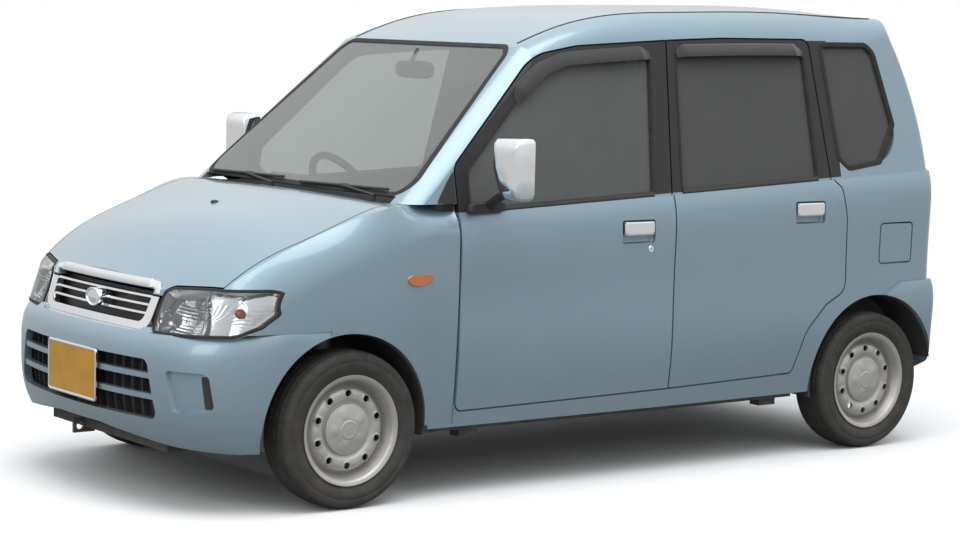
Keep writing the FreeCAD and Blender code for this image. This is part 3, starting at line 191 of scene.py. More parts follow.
def mirrored(parts):
    """The same parts on the car's right, with their faces turned round again."""
    flipped = []
    for verts, faces in parts:
        flipped.append((verts * np.array([1, -1, 1]), [list(f)[::-1] for f in faces]))
    return flipped


def make_piece(name, parts, body, material, smooth=35):
    """One mesh object from several (points, faces) parts, seated on its body."""
    offset, verts, faces = 0, [], []
    for v, f in parts:
        verts.append(v)
        faces += [[i + offset for i in face] for face in f]
        offset += len(v)
    mesh = bpy.data.meshes.new(name)
    mesh.from_pydata(np.concatenate(verts).tolist(), [], faces)
    mesh.validate()
    piece = bpy.data.objects.new(name, mesh)
    bpy.context.scene.collection.objects.link(piece)
    outward(piece)
    mesh.shade_smooth()
    if smooth < 180:
        mesh.set_sharp_from_angle(angle=math.radians(smooth))
    mesh.materials.append(material)
    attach(piece, body)
    return piece


def outward(piece):
    """Turns every closed part's faces to point out of it."""
    bpy.context.view_layer.objects.active = piece
    piece.select_set(True)
    bpy.ops.object.mode_set(mode="EDIT")
    bpy.ops.mesh.select_all(action="SELECT")
    bpy.ops.mesh.normals_make_consistent(inside=False)
    bpy.ops.object.mode_set(mode="OBJECT")
    piece.select_set(False)


# %% [markdown]
# ## Landing trim on the body
# Trim sits on a curved side. Instead of guessing where that is, a ray is sent in from outside at each
# point, and the piece is seated where the ray meets the construction.

# %% Rays on the body
def tree_of(*names):
    """One search tree over several nodes of the frame."""
    verts, faces, offset = [], [], 0
    for name in names:
        mesh = NODES[name].data
        verts += [v.co.copy() for v in mesh.vertices]
        faces += [[i + offset for i in p.vertices] for p in mesh.polygons]
        offset += len(mesh.vertices)
    return BVHTree.FromPolygons(verts, faces)


VIEWS = {"side": ((1, 0, 0), (0, 0, 1), (0, 1.3, 0)), "front": ((0, 1, 0), (0, 0, 1), (2.5, 0, 0)),
         "rear": ((0, 1, 0), (0, 0, 1), (-2.5, 0, 0)), "top": ((1, 0, 0), (0, 1, 0), (0, 0, 2.2))}


def on_view(view, flat):
    """Points drawn on a view of the car, as points in space outside it and the direction that leads to it."""
    across, up, start = (np.array(v, float) for v in VIEWS[view])
    flat = np.asarray(flat, float)
    points = flat[:, :1] * across + flat[:, 1:2] * up + start
    if view in ("side", "top"):
        points[:, 0] += AXLE
    return points, -start / np.linalg.norm(start)


def landed(tree, points, direction, lift=0.0):
    """Each point moved along direction onto the tree's surface and back by lift, with the normals."""
    found = np.full((len(points), 6), np.nan)
    for i, p in enumerate(np.asarray(points, float)):
        hit, normal = tree.ray_cast(Vector(p), Vector(direction))[:2]
        if hit is not None:
            normal = -normal if normal.dot(Vector(direction)) > 0 else normal
            found[i] = (*(hit - Vector(direction) * lift), *normal)
    good = ~np.isnan(found[:, 0])
    index = np.arange(len(found))
    for i in range(6):
        found[:, i] = np.interp(index, index[good], found[good, i])
    return found[:, :3], found[:, 3:]


def softened(rows, closed, turns=3):
    """Directions averaged with their neighbours a few times and brought back to length one."""
    for _ in range(turns):
        if closed:
            rows = rows + np.roll(rows, 1, 0) + np.roll(rows, -1, 0)
        else:
            padded = np.concatenate([rows[:1], rows, rows[-1:]])
            rows = padded[:-2] + padded[1:-1] + padded[2:]
        rows = rows / np.linalg.norm(rows, axis=1)[:, None]
    return rows


def ribbon(tree, view, outline, section, closed=True, count=160, spread=0.003):
    """Trim along an outline drawn on a view. Its section is given as (outward, lift) pairs, measured from the
    outline in the plane of the view and from the surface along its normal."""
    flat = resample(outline, count, closed)
    along = np.roll(flat, -1, 0) - np.roll(flat, 1, 0) if closed else np.gradient(flat, axis=0)
    out = np.stack([along[:, 1], -along[:, 0]], -1)
    out /= np.linalg.norm(out, axis=1)[:, None]
    area = np.sum(flat[:, 0] * np.roll(flat[:, 1], -1) - flat[:, 1] * np.roll(flat[:, 0], -1))
    out *= np.sign(area) if closed else 1
    start, direction = on_view(view, flat + out * spread)
    places, normals = landed(tree, start, direction)
    normals = softened(normals, closed)
    across, up, _ = (np.array(v, float) for v in VIEWS[view])
    away = out[:, :1] * across + out[:, 1:] * up
    away -= normals * np.sum(away * normals, axis=1)[:, None]
    away /= np.linalg.norm(away, axis=1)[:, None]
    section = np.asarray(section, float)
    points = (places[:, None] + away[:, None] * (section[None, :, :1] - spread)
              + normals[:, None] * section[None, :, 1:])
    return grid(points, closed, True, not closed)


def patch(tree, view, outline, lift, edge=0.001, count=120, rings=10):
    """A thin raised plate that follows the surface inside an outline, with a rounded rim."""
    flat = resample(outline, count)
    middle = flat.mean(0)
    reach = np.linalg.norm(flat - middle, axis=1).mean()
    levels = [(1.0, -0.0015), (1.0, lift - edge), (1 - 0.4 * edge / reach, lift - 0.3 * edge)]
    levels += [(1 - edge / reach, lift)]
    levels += [(share, lift) for share in np.linspace(0.93, 0.02, rings)]
    rows = []
    for share, height in levels:
        start, direction = on_view(view, middle + (flat - middle) * share)
        places, normals = landed(tree, start, direction)
        rows.append(places + softened(normals, True) * height)
    return grid(np.stack(rows), False, True, True)


def half_round(width, height, sink=0.001, count=7):
    """(outward, lift) pairs of a low arch, sunk a little into what it sits on."""
    t = np.linspace(0, np.pi, count)
    arch = np.stack([-np.cos(t) * width / 2, np.sin(t) * height], -1)
    return np.concatenate([arch, [(width / 2, -sink), (-width / 2, -sink)]])


def plate(outline, levels, view):
    """A flat plate drawn on a view: rings of its outline, each at (inset, distance along the sight)."""
    outline = np.asarray(outline, float)
    middle = outline.mean(0)
    size = np.linalg.norm(outline - middle, axis=1).mean()
    across, up, start = (np.array(v, float) for v in VIEWS[view])
    sight = np.abs(start) / np.linalg.norm(start)
    rings = []
    for inset, place in levels:
        flat = middle + (outline - middle) * (1 - inset / size)
        rings.append(flat[:, :1] * across + flat[:, 1:] * up + sight * place)
        if view in ("side", "top"):
            rings[-1][:, 0] += AXLE
    return grid(np.stack(rings), False, True, True)


# %% [markdown]
# ## Shader maths as expressions
# A material here is a small formula. This class wraps a socket, so that a formula can be written with
# ordinary operators, and each operator adds its Math node.

# %% The socket class
class Wire:
    """A value in a material that can be added, multiplied and compared."""

    def __init__(self, finish, socket):
        self.finish, self.socket = finish, socket

    def maths(self, operation, *values, clamp=False):
        return self.finish.node("ShaderNodeMath", {"operation": operation, "use_clamp": clamp}, *values)

    def __add__(self, other):
        return self.maths("ADD", self, other)

    def __sub__(self, other):
        return self.maths("SUBTRACT", self, other)

    def __rsub__(self, other):
        return self.maths("SUBTRACT", other, self)

    def __mul__(self, other):
        return self.maths("MULTIPLY", self, other)

    def __pow__(self, other):
        return self.maths("POWER", self, other)

    def __gt__(self, other):
        return self.maths("GREATER_THAN", self, other)

    def __lt__(self, other):
        return self.maths("LESS_THAN", self, other)

    __radd__, __rmul__ = __add__, __mul__

    def held(self):
        """The value kept between 0 and 1."""
        return self.maths("MULTIPLY", self, 1.0, clamp=True)

    def over(self, low, high):
        """A soft step: 0 below low, 1 above high."""
        return ((self - low) * (1.0 / (high - low))).held()


class Nodes:
    """A node tree that is cleared and then filled by one method."""

    def __init__(self, tree):
        self.tree = tree
        self.tree.nodes.clear()

    def node(self, kind, settings=None, *values, out=0, **named):
        """A node of any type: its settings first, then values or wires for its inputs."""
        node = self.tree.nodes.new(kind)
        for key, value in (settings or {}).items():
            if key == "stops":
                ramp = node.color_ramp
                for i, (where, colour) in enumerate(value):
                    stop = ramp.elements[i] if i < 2 else ramp.elements.new(where)
                    stop.position = where
                    stop.color = (*colour, 1.0)
            else:
                setattr(node, key, value)
        for target, value in list(enumerate(values)) + list(named.items()):
            socket = node.inputs[target.replace("_", " ") if isinstance(target, str) else target]
            if isinstance(value, Wire):
                self.tree.links.new(value.socket, socket)
            elif value is not None:
                socket.default_value = value
        return Wire(self, node.outputs[out]) if node.outputs else None


class Finish(Nodes):
    """A material with its places, its facing and its main shader ready."""

    def __init__(self, name):
        self.material = bpy.data.materials.new(name)
        self.material.use_nodes = True
        super().__init__(self.material.node_tree)
        self.out = self.tree.nodes.new("ShaderNodeOutputMaterial")
        self.base = self.tree.nodes.new("ShaderNodeBsdfPrincipled")
        self.shaded = Wire(self, self.base.outputs[0])
        self.ends_in(self.shaded)
        self.place = self.node("ShaderNodeTexCoord", out="Object")
        facing = self.node("ShaderNodeTexCoord", out="Normal")
        self.x, self.y, self.z = (self.node("ShaderNodeSeparateXYZ", {}, self.place, out=i) for i in range(3))
        self.nx, self.ny, self.nz = (self.node("ShaderNodeSeparateXYZ", {}, facing, out=i) for i in range(3))

    def ends_in(self, shader):
        """Makes a shader the surface of the material."""
        self.tree.links.new(shader.socket, self.out.inputs[0])

    def noise(self, scale, detail=3.0, rough=0.55):
        return self.node("ShaderNodeTexNoise", {}, self.place, Scale=scale, Detail=detail, Roughness=rough)

    def mix(self, factor, a, b):
        """Colour a where factor is 0, colour b where it is 1."""
        a, b = ((*c, 1.0) if isinstance(c, tuple) else c for c in (a, b))
        unused = [None] * 5
        return self.node("ShaderNodeMix", {"data_type": "RGBA"}, factor, *unused, a, b, out=2)

    def bump(self, height, distance, strength=1.0):
        return self.node("ShaderNodeBump", {}, Height=height, Distance=distance, Strength=strength)

    def set(self, **values):
        """Values or wires for the main shader's sockets."""
        for key, value in values.items():
            socket = self.base.inputs[key.replace("_", " ")]
            if isinstance(value, Wire):
                self.tree.links.new(value.socket, socket)
            elif isinstance(value, tuple) and len(value) == 3 and socket.type == "RGBA":
                socket.default_value = (*value, 1.0)
            else:
                socket.default_value = value

    def glaze(self, tint, gloss_roughness, veil, ior=1.5):
        """Clear glass: light passes with a tint, and a Fresnel share of it is reflected."""
        clear = self.node("ShaderNodeBsdfTransparent", {}, (*tint, 1.0))
        shine = self.node("ShaderNodeFresnel", {}, ior)
        factor = (shine * 1.25 + veil).held()
        self.set(Roughness=gloss_roughness)
        self.ends_in(self.node("ShaderNodeMixShader", {}, factor, clear, self.shaded))


def dusty(finish, colour, roughness, dust=(0.24, 0.22, 0.19), low=0.10, high=0.55, amount=0.35):
    """Road dust that thickens towards the ground, broken up by noise."""
    fade = 1.0 - finish.z.over(low, high)
    patch = finish.noise(14.0, 5.0).over(0.30, 0.75)
    mask = (fade * amount * (0.35 + patch)).held()
    finish.set(Base_Color=finish.mix(mask, colour, dust), Roughness=(roughness + mask * 0.4).held())


# %% [markdown]
# ## Body paint
# The real paint is a pale blue metallic under clear lacquer. Fine flakes vary the tint a little from
# spot to spot, the lacquer has the faint ripple of a sprayed surface, and the sills have picked up
# dust.

# %% Paint
PAINT = (0.222, 0.318, 0.378)
PAINT_METAL = 0.45
PILLAR_BLACK = (0.016, 0.014, 0.014)
LINING = (0.20, 0.20, 0.205)


def lining(f):
    """1 on a panel's face that looks into the cabin: inwards at the sides, or down under the roof."""
    inwards = (f.y * f.ny) < -0.18
    under = (f.nz < -0.5) * (f.z > 1.3)
    return (inwards + under).held() * (f.x < at(-0.23)) * (f.x > at(-2.62))


def paint(name, black=None):
    """Metallic paint; black gives a mask where the panel is covered in black film instead."""
    f = Finish(name)
    flake = f.node("ShaderNodeTexVoronoi", {}, f.place, Scale=900.0, out=0)
    cloud = f.noise(2.2, 2.0)
    tint = f.mix(cloud.over(0.35, 0.7), PAINT, tuple(c * 1.05 for c in PAINT))
    tint = f.mix((flake * 0.35).held(), tint, tuple(c * 1.30 for c in PAINT))
    ripple = f.noise(160.0, 1.0)
    mask = lining(f)
    tint = f.mix(mask, tint, LINING)
    rough = (0.36 + cloud * 0.05) * (1.0 - mask) + mask * 0.75
    metal = (1.0 - mask) * PAINT_METAL
    coat = 1.0 - mask
    if black is not None:
        mask = black(f)
        film = f.noise(700.0, 2.0)
        tint = f.mix(mask, tint, PILLAR_BLACK)
        rough = rough * (1.0 - mask) + (0.38 + film * 0.1) * mask
        metal = (1.0 - mask) * metal
        coat = (1.0 - mask) * coat
    dusty(f, tint, rough, amount=0.22)
    f.set(Metallic=metal, Coat_Weight=coat, Coat_Roughness=0.04, Coat_IOR=1.5)
    f.set(Normal=f.bump(ripple, 0.0002, 0.35))
    return f.material


def above_belt(f):
    """1 over the window line, which is a slanting plane."""
    line = f.x * -BELT_SLOPE + (BELT_Z + BELT_X * BELT_SLOPE + 0.006)
    return f.z > line


def rear_pillar(f):
    """1 on the black pillar between the rear door and the quarter glass."""
    inside = (f.x > at(-2.200)) * (f.x < at(-2.095))
    return above_belt(f) * inside * (f.z < 1.540)


PAINTED = paint("body_paint")
DOOR_PAINT = paint("door_paint", above_belt)
SIDE_PAINT = paint("side_paint", rear_pillar)

# %% [markdown]
# ## Plain finishes
# Plastics get a fine grain, rubber its dusty bloom, and metals their brushed or cast skin. Each is
# one function of its colour, so that alike parts share it.

# %% Plastics, rubber and metals
def plastic(name, colour, roughness=0.5, grain=900.0, depth=0.00012, dust=0.15):
    f = Finish(name)
    pits = f.node("ShaderNodeTexVoronoi", {}, f.place, Scale=grain)
    fade = f.noise(9.0, 3.0)
    tone = f.mix(fade.over(0.3, 0.75), colour, tuple(c * 1.35 + 0.004 for c in colour))
    dusty(f, tone, roughness + fade * 0.12, amount=dust)
    f.set(Normal=f.bump(pits, depth, 0.5))
    return f.material


def rubber(name, colour=(0.012, 0.012, 0.013), dust=0.5):
    f = Finish(name)
    bloom = f.noise(30.0, 6.0, 0.65)
    speck = f.noise(260.0, 3.0)
    tone = f.mix(bloom.over(0.35, 0.8), colour, tuple(c * 2.4 + 0.006 for c in colour))
    dusty(f, tone, 0.72 + bloom * 0.15, low=-0.05, high=0.75, amount=dust)
    f.set(Normal=f.bump(speck, 0.0003, 0.6))
    return f.material


def metal(name, colour, roughness, metallic=1.0, scale=60.0, depth=0.0001, stain=(0.10, 0.08, 0.06),
          wear=0.2):
    f = Finish(name)
    stains = f.noise(scale * 0.25, 5.0)
    fine = f.noise(scale * 8.0, 2.0)
    mask = (stains.over(0.5, 0.85) * wear).held()
    f.set(Base_Color=f.mix(mask, colour, stain), Metallic=metallic * (1.0 - mask * 0.7),
          Roughness=(roughness + fine * 0.08 + mask * 0.3).held(), Normal=f.bump(fine, depth, 0.5))
    return f.material


BLACK_PLASTIC = plastic("black_plastic", (0.018, 0.018, 0.019), 0.46)
TRIM_BLACK = plastic("trim_black", (0.014, 0.013, 0.013), 0.34, 1400.0, 0.00005, 0.08)
CABIN_TRIM = plastic("cabin_trim", (0.115, 0.115, 0.120), 0.58, 700.0, 0.0002, 0.0)
SEAL_RUBBER = rubber("seal_rubber", (0.010, 0.010, 0.010), 0.1)
TYRE_RUBBER = rubber("tyre_rubber", (0.016, 0.015, 0.014), 0.22)
CHROME = metal("chrome", (0.86, 0.86, 0.87), 0.06, 1.0, 40.0, 0.00002, (0.3, 0.28, 0.25), 0.12)
WHEEL_SILVER = metal("wheel_silver", (0.52, 0.505, 0.485), 0.40, 0.70, 30.0, 0.0001, (0.15, 0.12, 0.09), 0.45)
REFLECTOR = metal("reflector", (0.80, 0.80, 0.79), 0.13, 1.0, 40.0, 0.00002, (0.55, 0.52, 0.47), 0.1)
CAST_METAL = metal("cast_metal", (0.20, 0.20, 0.21), 0.6, 0.8, 30.0, 0.0006, (0.09, 0.05, 0.03), 0.6)
BARE_STEEL = metal("bare_steel", (0.33, 0.30, 0.27), 0.5, 0.9, 24.0, 0.0003, (0.16, 0.07, 0.03), 0.75)
UNDERBODY = plastic("underbody", (0.035, 0.037, 0.04), 0.8, 120.0, 0.0012, 0.5)
CHASSIS_BLACK = plastic("chassis_black", (0.02, 0.02, 0.02), 0.6, 200.0, 0.0004, 0.5)

# %% [markdown]
# ## Glass and lamp materials
# Car glass passes most light straight through, so it is a mix of clear passage with a tint and of a
# glossy coat. Lenses and reflectors use the same idea with other tints.

# %% Glass and lenses
def glass(name, tint, veil, roughness=0.02):
    f = Finish(name)
    smear = f.noise(7.0, 4.0)
    f.set(Base_Color=(0.58, 0.58, 0.58), Metallic=0.0)
    f.glaze(tint, (smear * 0.05 + roughness).held(), smear * 0.03 + veil)
    return f.material


def lens(name, colour, ribs=60.0):
    """A coloured lamp cover with fine ribs inside it."""
    f = Finish(name)
    wave = f.node("ShaderNodeTexWave", {"bands_direction": "Z"}, f.place, Scale=ribs)
    dirt = f.noise(20.0, 3.0)
    f.set(Base_Color=f.mix((wave * 0.35).held(), colour, tuple(c * 0.55 for c in colour)),
          Roughness=(0.12 + dirt * 0.1).held(), Coat_Weight=1.0, Coat_Roughness=0.03,
          Normal=f.bump(wave, 0.0006, 0.5))
    return f.material


SCREEN_GLASS = glass("screen_glass", (0.80, 0.84, 0.82), 0.08)
DOOR_GLASS = glass("door_glass", (0.74, 0.77, 0.75), 0.10)
DARK_GLASS = glass("dark_glass", (0.20, 0.18, 0.18), 0.075)
CLEAR_LENS = glass("clear_lens", (0.95, 0.96, 0.97), 0.01)
RED_LENS = lens("red_lens", (0.42, 0.012, 0.016))
AMBER_LENS = lens("amber_lens", (0.62, 0.17, 0.02), 90.0)
VISOR_SMOKE = glass("visor_smoke", (0.13, 0.095, 0.08), 0.03, 0.08)
PLATE_YELLOW = plastic("plate_yellow", (0.46, 0.23, 0.012), 0.42, 500.0, 0.00002, 0.2)

FINISH_OF = {"paint": PAINTED, "underbody": UNDERBODY, "black_plastic": BLACK_PLASTIC, "chrome": CHROME,
             "clear_lens": CLEAR_LENS, "reflector": REFLECTOR, "red_lens": RED_LENS, "glass": SCREEN_GLASS,
             "privacy_glass": DARK_GLASS, "trim": CABIN_TRIM, "cast_metal": CAST_METAL, "tyre": TYRE_RUBBER,
             "chassis_black": CHASSIS_BLACK, "bare_steel": BARE_STEEL, "wheel_silver": WHEEL_SILVER,
             "seat_fabric": CABIN_TRIM}
SLOT_OF = {row["node"]: row["material_slot"] for row in frame["record"]["subparts"]}
for name, node in NODES.items():
    finish = FINISH_OF[SLOT_OF[name]]
    if name.startswith(("door_front", "door_rear")):
        finish = DOOR_PAINT
    elif name.startswith("body_side"):
        finish = SIDE_PAINT
    elif name.startswith("glass_front"):
        finish = DOOR_GLASS
    node.data.materials.clear()
    node.data.materials.append(finish)
print("finishes given to", len(NODES), "nodes")

# %% [markdown]
# ## Tyres
# The tyre has a tread of ribs split by grooves, with sipes cut across the shoulder blocks, and fine
# moulded rings on its wall. It is one section turned about the axle, and the radius of its tread dips
# where a groove runs.

# %% Tyre surface
TYRE_R = HUB_Z
TREAD_HALF = 0.062
GROOVES = np.array([-0.040, -0.014, 0.014, 0.040])
GROOVE_DEPTH = 0.0062
SIPE_DEPTH = 0.0042
FINE_DEPTH = 0.0025
BLOCKS = 60


def tyre_part(centre, turn):
    """Radius as a function of the angle round the wheel and of the place across the section.
    Across the tread it falls by the groove depth inside each groove, and by less inside each sipe."""
    wall = np.array([(0.167, 0.056), (0.178, 0.0625), (0.186, 0.0665), (0.190, 0.0672), (0.194, 0.0705),
                     (0.206, 0.0752), (0.216, 0.0760), (0.222, 0.0757), (0.224, 0.0745), (0.228, 0.0745),
                     (0.230, 0.0752), (0.240, 0.0732), (0.247, 0.0700), (0.252, 0.0665)])
    across = np.linspace(TREAD_HALF, -TREAD_HALF, 63)
    crown = TYRE_R - 0.0003 - 0.0060 * (np.abs(across) / TREAD_HALF) ** 3.2
    near = np.abs(across[:, None] - GROOVES[None]).min(1)
    dip = GROOVE_DEPTH * np.clip(1.4 - near / 0.0024, 0, 1)
    steps = 240
    angle = np.linspace(0, 2 * np.pi, steps, endpoint=False)
    shoulder = np.abs(across) > 0.043
    slant = angle[:, None] * BLOCKS + np.sign(across)[None] * 0.6 + across[None] * 60.0
    sipe = (np.cos(slant) > 0.93) & shoulder[None]
    fine = (np.cos(angle[:, None] * BLOCKS + across[None] * 110.0) > 0.955) & ~shoulder[None]
    radius = crown[None] - dip[None] - SIPE_DEPTH * sipe - FINE_DEPTH * fine
    left = np.broadcast_to(wall[None], (steps, *wall.shape))
    right = left[:, ::-1] * np.array([1, -1])
    tread = np.stack([radius, np.broadcast_to(across[None], radius.shape)], -1)
    section = np.concatenate([left, tread, right], 1)
    r, w = section[..., 0], section[..., 1] * turn
    points = np.stack([r * np.cos(angle)[:, None], w, r * np.sin(angle)[:, None]], -1) + np.asarray(centre)
    return grid(points, True, True)


WHEELS = [(end, side, AXLE if end == "front" else REAR_AXLE, 1 if side == "left" else -1)
          for end in ("front", "rear") for side in ("left", "right")]
for end, side, axle, turn in WHEELS:
    tag = end + "_" + side
    ring = tyre_part((axle, turn * WHEEL_Y, HUB_Z), turn)
    tyre = make_piece("tread_" + tag, [ring], "wheel_" + tag, TYRE_RUBBER, 40)
    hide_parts("tyre_" + tag)
print("tyre triangles each", len(tyre.data.polygons) * 2)

# %% [markdown]
# ## Steel wheels
# A pressed disc with ten round holes sits in a rolled rim, with a raised cap in its middle. The
# disc's height over the wheel's plane is a formula of the radius, and each hole gets its own
# turned-in collar.

# %% Wheel surface
HOLE_COUNT = 10
HOLE_RING = 0.1195
HOLE_R = 0.0125
DISC_OUT, DISC_IN = 0.150, 0.080
DISC_HEIGHT = np.array([(0.080, 0.0385), (0.088, 0.0385), (0.091, 0.0395), (0.095, 0.0420), (0.100, 0.0450),
                        (0.106, 0.0462), (0.115, 0.0462), (0.124, 0.0450), (0.132, 0.0415), (0.137, 0.0355),
                        (0.142, 0.0265), (0.146, 0.021), (0.150, 0.018)])
CAP_R = 0.0862
CAP_FOOT = 0.0385
SHEET = 0.0012


def rim_parts(centre, turn):
    """Barrel and disc as turned sections; the disc is a grid whose points are pushed off each hole's rim."""
    cx, cy, cz = centre
    barrel = [(0.1815, 0.0700), (0.1822, 0.0675), (0.1800, 0.0645), (0.1705, 0.0625), (0.1680, 0.060),
              (0.1662, 0.040), (0.1530, 0.022), (0.1530, -0.022), (0.1662, -0.040), (0.1680, -0.062),
              (0.1815, -0.066), (0.1815, -0.0695), (0.1640, -0.0660), (0.1615, -0.042), (0.1480, -0.024),
              (0.1480, 0.020), (0.1600, 0.040), (0.1640, 0.0600), (0.1680, 0.0655), (0.1760, 0.0690)]
    parts = [turned(np.array(barrel) * np.array([1, turn]), centre, 144)]
    n, m = 240, 44
    angle = np.linspace(0, 2 * np.pi, n, endpoint=False)[:, None]
    radius = np.linspace(DISC_OUT, DISC_IN, m)[None]
    px, pz = radius * np.cos(angle), radius * np.sin(angle)
    rib = 0.0014 * np.clip(np.cos(angle * HOLE_COUNT), 0, 1) * np.exp(-((radius - 0.119) / 0.010) ** 2)
    sector = np.round((angle / (2 * np.pi) * HOLE_COUNT) - 0.5) + 0.5
    hole_angle = sector * 2 * np.pi / HOLE_COUNT
    hx, hz = HOLE_RING * np.cos(hole_angle), HOLE_RING * np.sin(hole_angle)
    dx, dz = px - hx, pz - hz
    away = np.sqrt(dx ** 2 + dz ** 2)
    push = np.where(away < HOLE_R, HOLE_R / np.maximum(away, 1e-6), 1.0)
    inside = away < HOLE_R * 0.999
    px, pz = hx + dx * push, hz + dz * push
    height = np.interp(np.sqrt(px ** 2 + pz ** 2), DISC_HEIGHT[:, 0], DISC_HEIGHT[:, 1]) + rib
    height = height + 0.0022 * np.exp(-((away - HOLE_R) / 0.0035) ** 2) * ~inside
    front = np.stack([px, height * turn, pz], -1) + np.asarray(centre)
    verts, faces = grid(front, True, False)
    flat = inside.reshape(-1)
    faces = [f for f in faces if not all(flat[i] for i in f)]
    parts.append((verts, faces))
    for k in range(HOLE_COUNT):
        a = (k + 0.5) * 2 * np.pi / HOLE_COUNT
        ring_centre = (cx + HOLE_RING * math.cos(a), cy, cz + HOLE_RING * math.sin(a))
        collar = [(HOLE_R + 0.0004, 0.0472), (HOLE_R - 0.0012, 0.0470), (HOLE_R - 0.0016, 0.0385),
                  (HOLE_R + 0.0010, 0.035), (HOLE_R + 0.0022, 0.0385), (HOLE_R + 0.0020, 0.0445)]
        parts.append(turned(np.array(collar) * np.array([1, turn]), ring_centre, 28))
    return parts


def cap_parts(centre, turn):
    """The raised centre cap: a dome with a ring near its middle and five low lobes round it. The height is
    the sum of a dome, a step at the rim, a ring and a wave round the cap."""
    n, m = 110, 32
    angle = np.linspace(0, 2 * np.pi, n, endpoint=False)[:, None]
    t = np.linspace(0, 1, m)[None]
    radius = CAP_R * (1 - t) + 0.0004 * t
    lip = 0.0065 * np.clip((CAP_R - radius) / 0.003, 0, 1) ** 0.5
    dome = CAP_FOOT + lip + 0.0125 * (1 - (radius / CAP_R) ** 2)
    lobes = 0.0016 * np.clip(np.cos(angle * 5), -0.35, 1) * np.exp(-((radius - 0.056) / 0.016) ** 4)
    ring = 0.0016 * np.exp(-((radius - 0.027) / 0.0028) ** 2)
    moat = 0.0010 * np.exp(-((radius - 0.034) / 0.002) ** 2)
    height = (dome + lobes + ring - moat) * turn
    points = np.stack([radius * np.cos(angle), height, radius * np.sin(angle)], -1) + np.asarray(centre)
    return [grid(points, True, False)]


for end, side, axle, turn in WHEELS:
    tag = end + "_" + side
    middle = (axle, turn * WHEEL_Y, HUB_Z)
    steel = rim_parts(middle, turn) + cap_parts(middle, turn)
    wheel = make_piece("wheel_disc_" + tag, steel, "wheel_" + tag, WHEEL_SILVER, 40)
    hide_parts("rim_" + tag)
    wall = wheel.modifiers.new("wall", "SOLIDIFY")
    wall.thickness, wall.offset = SHEET, -1.0
print("wheel faces", len(wheel.data.polygons))

# %% [markdown]
# ## Window rubbers, visors and side trim
# Every window sits in a rubber that hides the edge of its opening. Its outline is drawn on a side
# view, and each point is landed on the car, so the rubber follows the lean and the bow of the side.

# %% Windows and black trim
LEFT_SIDE = tree_of("body_side_left", "fender_left", "door_front_left", "door_rear_left")
FRONT_WINDOW = [(-0.462, belt(at(-0.462)) + 0.012, 0.022), (-0.466, 1.092, 0.024), (-0.822, 1.436, 0.18),
                (-0.985, 1.463, 0.30), (-1.314, 1.482, 0.012), (-1.262, belt(at(-1.262)) + 0.012, 0.012)]
REAR_WINDOW = [(-1.398, belt(at(-1.398)) + 0.012, 0.014), (-1.436, 1.482, 0.014), (-2.070, 1.494, 0.022),
               (-2.074, belt(at(-2.074)) + 0.010, 0.020)]
QUARTER = [(-2.204, 1.062, 0.050), (-2.166, 1.525, 0.014), (-2.440, 1.526, 0.050), (-2.543, 1.104, 0.118)]
RUBBER = [(0.0065, -0.0005), (0.0060, 0.0014), (0.0010, 0.0020), (-0.0030, 0.0010), (-0.0065, -0.0080),
          (-0.0070, -0.0097), (0.0010, -0.0097), (0.0020, -0.0020)]
WIDE_RUBBER = [(0.0115, -0.0005), (0.0105, 0.0016), (0.0020, 0.0024), (-0.0060, 0.0010), (-0.0100, -0.0080),
               (-0.0105, -0.0097), (0.0010, -0.0097), (0.0020, -0.0020)]
SCREEN = [(-0.650, 1.006, 0.046), (-0.502, 1.504, 0.050), (0.502, 1.504, 0.050), (0.650, 1.006, 0.046)]
REAR_GLASS = [(-0.520, 1.066, 0.060), (-0.452, 1.500, 0.070), (0.452, 1.500, 0.070), (0.520, 1.066, 0.060)]


def on_both_sides(name, build, body, material, smooth=35):
    """The same trim for the left side and mirrored for the right."""
    for side, parts in (("left", build), ("right", mirrored(build))):
        rider = body if body == "body" else body + "_" + side
        make_piece(name + "_" + side, parts, rider, material, smooth)


for name, corners, section, body in (("rubber_front", FRONT_WINDOW, RUBBER, "door_front"),
                                     ("rubber_rear", REAR_WINDOW, RUBBER, "door_rear"),
                                     ("rubber_quarter", QUARTER, WIDE_RUBBER, "body")):
    seal = ribbon(LEFT_SIDE, "side", rounded_outline(corners, 14), section, count=240)
    on_both_sides(name, [seal], body, SEAL_RUBBER)

STRIP = [(-0.008, -0.001), (-0.008, 0.002), (-0.003, 0.0055), (0.004, 0.0058), (0.008, 0.003),
         (0.008, -0.001)]
for name, rear, front, body in (("belt_strip_front", -1.262, -0.462, "door_front"),
                                ("belt_strip_rear", -2.074, -1.398, "door_rear")):
    ahead = np.linspace(rear, front, 60)
    path = np.stack([ahead, [belt(at(a)) + 0.006 for a in ahead]], -1)
    strip = ribbon(LEFT_SIDE, "side", path, STRIP, False, 80, -0.008)
    on_both_sides(name, [strip], body, TRIM_BLACK)

SAIL = [(-0.334, 0.994, 0.004), (-0.335, 0.975, 0.010), (-0.345, 0.963, 0.010), (-0.367, 0.957, 0.020),
        (-0.407, 0.956, 0.002), (-0.407, 1.092, 0.002), (-0.373, 1.050, 0.004)]
sail = patch(LEFT_SIDE, "side", rounded_outline(SAIL, 4), 0.0022)
on_both_sides("sail_panel", [sail], "body", BLACK_PLASTIC)

# %% [markdown]
# ## Door visors
# A smoked visor runs over each window. Its upper edge is stuck to the door frame, and it bulges away
# from the glass towards its free lower edge. Its height over the frame grows with the sine of the way
# down.

# %% Visors
VISORS = (("visor_front", "door_front", 0.050,
           [(-0.706, 1.304), (-0.746, 1.342), (-0.782, 1.372), (-0.835, 1.407), (-0.925, 1.436),
            (-1.040, 1.446), (-1.167, 1.454), (-1.312, 1.464)]),
          ("visor_rear", "door_rear", 0.046,
           [(-1.436, 1.471), (-1.600, 1.476), (-1.800, 1.480), (-2.062, 1.481)]))


